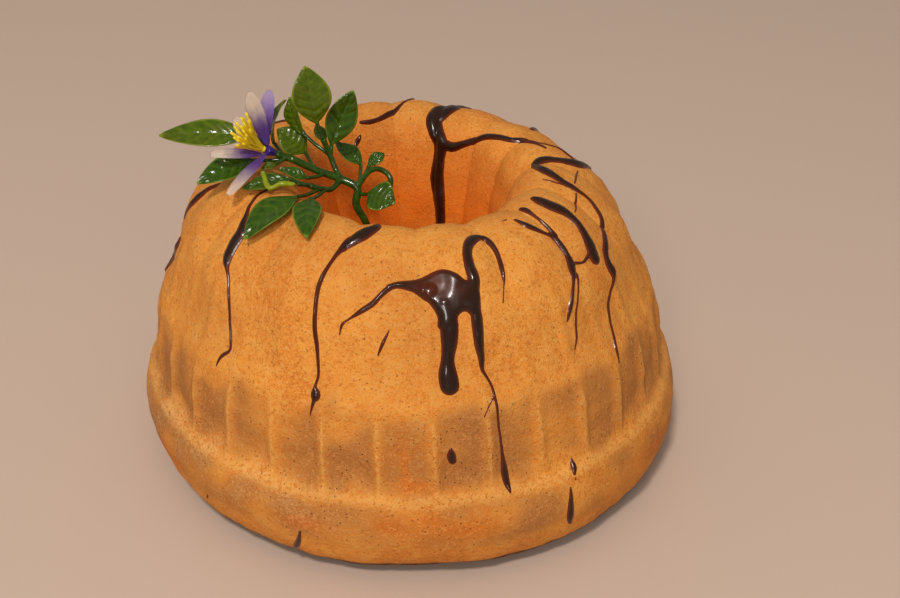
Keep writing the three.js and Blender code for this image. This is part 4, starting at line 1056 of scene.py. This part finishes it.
# %% Paths of the stem
MAIN_STEM = [[-14, -3, 0.5], [-14, -4, 20], [-16, -10, 60], [-17, -17, 96], [-18.5, -19, 107],
             [-22.5, -18, 115], [-22, -15.5, 121], [-28.5, -13, 123.7], [-38.5, -12, 127.3],
             [-47.5, -11.5, 131.6], [-51.2, -9.4, 131.5], [-54.1, -10.5, 133.4]]
TENDRIL = [[-22.5, -15.5, 121.5], [-17, -10, 126], [-12.5, -8, 125.5], [-9, -10, 122.8],
           [-9.5, -14, 119]]
FRONT_SHOOT = [[-28.5, -13, 123.7], [-32, -20, 122.8], [-36, -25, 125.5], [-40, -28, 128.3]]
TOP_SHOOT = [[-29, -13, 124], [-31, -10, 127.5], [-33, -8, 132], [-35.5, -8, 139]]
TWIG_ROOTS = {
    "leaf_a": [-49.5, -9.5, 131], "leaf_b": [-50, -10, 131.2], "leaf_c": [-49.5, -9.5, 131],
    "leaf_d": [-35.5, -8, 139], "leaf_e": [-33, -8, 132], "leaf_f": [-32.5, -8, 130.5],
    "leaf_g": [-39, -11.5, 128], "leaf_h": [-21.5, -14, 121.5], "leaf_i": [-20, -13.5, 124],
    "leaf_j": [-22, -16.3, 119.2], "leaf_k": [-36, -25, 125.5], "leaf_l": [-34, -22.5, 124],
    "leaf_m": [-40, -28, 128.3], "leaf_n": [-35, -13, 126], "leaf_o": [-33, -8, 132],
    "sepal": [-50, -12, 132.5]}
BUD_TWIG = [[-39, -27, 127.8], [-44, -33, 131.2]]
print(len(TWIG_ROOTS), "twigs")

# %% Tubes of the stem
STEM_RADIUS = 1.6
SHOOT_RADIUS = 1.1
TWIG_RADIUS = 0.75
SAG = 0.04
TWIG_REACH = 1.6


def swelling(radius):
    """A radius that is larger at the foot and a little larger at the far end."""
    return lambda t: radius * (1 + 0.45 * np.exp(-(t / 0.12) ** 2)
                               + 0.2 * np.exp(-((1 - t) / 0.1) ** 2))


def stem_radius(t):
    """Thinner inside the hole, thicker past the fork, and a little knotty all the way."""
    return STEM_RADIUS * (0.72 + 0.25 * np.clip((t - 0.6) * 12, 0, 1) + 0.06 * np.sin(26 * t))


tubes = [tube(MAIN_STEM, stem_radius, 110)]
tubes += [tube(stops, swelling(SHOOT_RADIUS), 36) for stops in (TENDRIL, FRONT_SHOOT, TOP_SHOOT)]
for name, foot, tip, *_ in LEAVES:
    root, foot, tip = np.array([TWIG_ROOTS[name], foot, tip], float)
    end = foot + unit(tip - foot) * LEAF_GAP * TWIG_REACH
    bow = (root + end) / 2 + np.array([0, 0, -SAG]) * np.linalg.norm(end - root)
    tubes.append(tube([root, bow, end], swelling(TWIG_RADIUS), 20, 10))
bud_twig = [BUD_TWIG[0], np.mean(BUD_TWIG, axis=0), BUD_TWIG[1]]
tubes.append(tube(bud_twig, swelling(TWIG_RADIUS), 16, 10))
print(len(tubes), "tubes")

# %% Stem material and piece
STEM_DEEP, STEM_FRESH, STEM_OLIVE = srgb(28, 52, 8), srgb(48, 78, 14), srgb(60, 74, 14)
stem_material = plastic_finish("stem", STEM_DEEP, STEM_FRESH, STEM_OLIVE, STEM_FRESH, 0.0)
stem_points, stem_faces = join_tubes(tubes)
new_piece("stem_and_twigs", stem_points, stem_faces, ["stem"], stem_material)

# %% [markdown]
# ## The flower
# The flower has five thin petals, violet at their feet and almost clear at their tips, a deep
# violet cup behind them, and a fan of broad yellow stamens. One petal could be copied round the
# axis, but the real ones all stand differently. So each is a blade like the leaves, with its own
# tip and the way it faces, rounded at the tip and without veins.

# %% Flower frame
FLOWER_AT = np.array([-57.5, -12.5, 136])
FLOWER_AXIS = unit([-0.72, -0.44, 0.54])
CUP_RADIUS = 2.0
PETAL_GAP = 0.4
PETAL_THICKNESS = 0.8
flower_up = unit(np.array([0, 0, 1]) - FLOWER_AXIS * FLOWER_AXIS[2])
flower_side = np.cross(FLOWER_AXIS, flower_up)


def flower_point(along, out, turn):
    """A place in the flower: along its axis, out from it, and turned round it in radians."""
    return (FLOWER_AT + np.multiply.outer(along, FLOWER_AXIS)
            + np.multiply.outer(out * np.cos(turn), flower_up)
            + np.multiply.outer(out * np.sin(turn), flower_side))


print("flower at", FLOWER_AT, "facing", FLOWER_AXIS.round(2))


# %% Petal material
thin_petal, given, end = new_group(
    "thin_petal", {"Foot": "Color", "Tip": "Color", "From": "Float", "To": "Float"},
    {"Base Color": "Color", "Roughness": "Float"})
tree = thin_petal
uv = node(tree, "UVMap", {"uv_map": "blade"}).outputs[0]
along_petal = node(tree, "SeparateXYZ", None, Vector=uv).outputs[1]
streak = noise(tree, own_place(tree), 320, 2)
reach = maths(tree, "MULTIPLY_ADD", streak, 0.25, along_petal)
share = ramp(tree, reach, given["From"], given["To"])
join(tree, end, {}, Base_Color=painted(tree, given["Foot"], [(share, given["Tip"])]),
     Roughness=ramp(tree, streak, 0.3, 0.7, 0.3, 0.45))


def petal_finish(name, foot_colour, tip_colour, change_from, change_to, clear):
    """A thin petal that lets light through, from one colour at its foot to another at its tip."""
    return finish_from(thin_petal, name, {"Transmission Weight": clear, "IOR": 1.15},
                       Foot=foot_colour, Tip=tip_colour, From=change_from, To=change_to)


VIOLET = srgb(116, 82, 168)
PALE_PETAL = srgb(236, 220, 204)
LIGHT_VIOLET = srgb(186, 164, 204)
pale_petal = petal_finish("petal_pale", VIOLET, PALE_PETAL, 0.4, 0.95, 0.55)
violet_petal = petal_finish("petal_violet", VIOLET, LIGHT_VIOLET, 0.5, 1.1, 0.4)
print("petal group:", len(tree.nodes), "nodes")

# %% Petal pieces
PETAL_WAVE = 0.15
# Name, turn round the axis, tip, the way it faces, width, curl, material and slot
PETALS = [
    ["petal_up", -15, [-63, -12, 159.5], [-0.45, -0.78, 0.45], 8, 1, pale_petal, "petal"],
    ["petal_right", 52, [-57.5, 4, 154.5], [-0.5, -0.8, 0.35], 7.5, 1, violet_petal, "violet"],
    ["petal_back", 115, [-71, -1, 144], [-0.72, -0.44, 0.54], 7, 0.5, pale_petal, "petal"],
    ["petal_left", 180, [-78, -20, 138], [-0.5, -0.5, 0.7], 5.0, 0.8, pale_petal, "petal"],
    ["petal_down", 240, [-70.3, -36, 128.3], [-0.5, -0.6, 0.6], 6.5, 0.5, pale_petal, "petal"],
]
for name, turn_degrees, tip, face, width, curl, material, slot in PETALS:
    def outline(t, width=width):
        """Half width: narrow at the foot, swelling to a rounded tip."""
        swell = np.sqrt(np.clip(np.sin(np.pi * np.minimum(t ** 1.3, 0.985)), 0, 1))
        return 0.6 + (width / 2 - 0.6) * swell

    def lift(t, curl=curl):
        """A curl backwards that grows with the square of the way to the tip."""
        return -curl * t * t

    foot = flower_point(PETAL_GAP, CUP_RADIUS, np.radians(turn_degrees))
    points, uv = blade(foot, tip, face, PETAL_GAP, outline, lift, PETAL_THICKNESS, PETAL_WAVE)
    new_piece(name + "_blade", points, closed_faces(LEAF_ROWS, points.shape[1]), [name],
              material, uv=uv)

# %% Cup behind the petals
CUP_DEEP, CUP_FRESH, CUP_OLIVE = srgb(44, 26, 104), srgb(70, 44, 150), srgb(88, 56, 140)
cup_material = plastic_finish("cup", CUP_DEEP, CUP_FRESH, CUP_OLIVE, CUP_FRESH, 0.0)
CUP_SECTION = [[-4, 1], [-3.4, 1.35], [-2.4, 1.5], [-1.4, 1.8], [-0.5, 2.05], [0, 1.9]]
CUP_ROWS, CUP_SIDES, CUP_LOBE = 24, 28, 0.08
cup_path = curve_through(np.column_stack([CUP_SECTION, np.zeros(len(CUP_SECTION))]), CUP_ROWS)
around = np.linspace(0, 2 * np.pi, CUP_SIDES, endpoint=False)
cup_out = cup_path[:, 1:2] * (1 + CUP_LOBE * np.cos(5 * around))
cup_points = flower_point(np.repeat(cup_path[:, :1], CUP_SIDES, 1), cup_out, around[None, :])
cup_faces = [face[::-1] for face in closed_faces(CUP_ROWS, CUP_SIDES)]
new_piece("flower_cup_body", cup_points * MM, cup_faces, ["flower_cup"], cup_material)

# %% Stamens
STAMENS = 22
STAMEN_LENGTH = 16.0
STAMEN_RISE = 0.26
STAMEN_SPREAD = 6.8
STAMEN_RADIUS, HEAD_SWELL = 0.42, 0.22
CENTRE_RADIUS = 1.25
GOLDEN_TURN = 2.399963
draw = np.random.default_rng(21)
tubes = [tube([flower_point(reach, 0, 0) for reach in (0.5, 1.4, 2.4)],
              lambda t: CENTRE_RADIUS * np.sqrt(np.clip(1 - (2 * t - 1) ** 2, 0.05, 1)), 10, 12)]
for k in range(STAMENS):
    turn_here = k * GOLDEN_TURN
    spread = STAMEN_SPREAD * np.sqrt((k + 0.5) / STAMENS)
    reach = STAMEN_LENGTH * draw.uniform(0.82, 1.0)
    stops = [flower_point(1.2, 0.3, turn_here), flower_point(reach * 0.5, spread * 0.42, turn_here),
             flower_point(reach, spread, turn_here + 0.08)]
    rise = np.array([0, 0.25, 1])[:, None] * STAMEN_RISE * reach * flower_up
    tubes.append(tube(np.array(stops) + rise, lambda t: STAMEN_RADIUS + HEAD_SWELL * t, 14, 8))
stamen_material, tree, shader = new_material("stamen")
streak = noise(tree, own_place(tree), 420, 2)
join(tree, shader, {}, Roughness=ramp(tree, streak, 0.3, 0.7, 0.4, 0.6),
     Base_Color=painted(tree, srgb(214, 176, 8), [(streak, srgb(246, 222, 40))]),
     Normal=bumped(tree, streak, 0.2, 0.0002))
stamen_points, stamen_faces = join_tubes(tubes)
new_piece("stamen_fan", stamen_points, stamen_faces, ["stamens"], stamen_material)

# %% Bud
BUD_RADIUS, BUD_SWELL = 0.85, 0.3
BUD = [[-44.8, -33.7, 131.5], [-50, -34.7, 132.2], [-54.6, -35, 130.8], [-57, -33.5, 137]]
BUD_DEEP, BUD_FRESH, BUD_OLIVE = srgb(112, 128, 16), srgb(156, 164, 28), srgb(136, 136, 26)
bud_material = plastic_finish("bud", BUD_DEEP, BUD_FRESH, BUD_OLIVE, BUD_FRESH, 0.0)
bud_tube = tube(BUD, lambda t: BUD_RADIUS + BUD_SWELL * np.sin(7 * t) ** 2, 40)
bud_points, bud_faces = join_tubes([bud_tube])
new_piece("bud_hook", bud_points, bud_faces, ["bud"], bud_material)

# %% [markdown]
# ## The room
# The cake is photographed in warm light from the front and above. Here it stands on a plain pale
# floor, under soft studio light. One large light could do, but glossy chocolate then shows a
# broad white patch. So a small key light makes the highlights and the thin shadow, and two wide
# lights that no surface mirrors fill in the rest.

# %% Floor
FLOOR_HALF = 4.0
floor_mesh = bpy.data.meshes.new("floor")
corners = [(-FLOOR_HALF, -FLOOR_HALF, 0), (FLOOR_HALF, -FLOOR_HALF, 0),
           (FLOOR_HALF, FLOOR_HALF, 0), (-FLOOR_HALF, FLOOR_HALF, 0)]
floor_mesh.from_pydata(corners, [], [(0, 1, 2, 3)])
floor = bpy.data.objects.new("floor", floor_mesh)
bpy.context.scene.collection.objects.link(floor)
floor_material, tree, shader = new_material("floor")
join(tree, shader, {"Base Color": srgb(200, 177, 160), "Roughness": 0.9,
                    "Specular IOR Level": 0.1})
floor_mesh.materials.append(floor_material)
print("floor:", 2 * FLOOR_HALF, "metres wide")


# %% Lights
def soft_light(name, place, aim, size, power, colour, mirrored=True):
    """A square area light at a place, turned to face a point. Only a mirrored one shows as a
    highlight on glossy things."""
    lamp = bpy.data.lights.new(name, "AREA")
    lamp.size, lamp.energy, lamp.color = size, power, colour
    light = bpy.data.objects.new(name, lamp)
    back = unit(np.array(place) - np.array(aim))
    sideways = unit(np.cross([0, 0, 1], back))
    upwards = np.cross(back, sideways)
    light.rotation_euler = Matrix(np.stack([sideways, upwards, back], -1)).to_euler()
    light.location = place
    light.visible_glossy = mirrored
    bpy.context.scene.collection.objects.link(light)


soft_light("key", [-0.42, -1.48, 2.2], [0, 0, 0.08], 0.3, 35, (1.0, 0.95, 0.9))
soft_light("spark", [-0.4, -1.5, 1.05], [0, 0, 0.1], 0.25, 5, (1.0, 0.97, 0.94))
soft_light("front", [0.3, -2.2, 1.3], [0, 0, 0.08], 1.6, 7, (1.0, 0.95, 0.9), False)
soft_light("overhead", [-0.2, 0.3, 2.2], [0, 0, 0], 3.0, 9, (1.0, 0.96, 0.92), False)
WORLD_COLOUR, WORLD_STRENGTH = (1.0, 0.93, 0.86, 1), 0.3
world = bpy.data.worlds.new("world")
bpy.context.scene.world = world
world.use_nodes = True
background = world.node_tree.nodes["Background"]
background.inputs[0].default_value = WORLD_COLOUR
background.inputs[1].default_value = WORLD_STRENGTH
bpy.context.scene.view_settings.view_transform = "Standard"
print(len(bpy.data.lights), "lights")
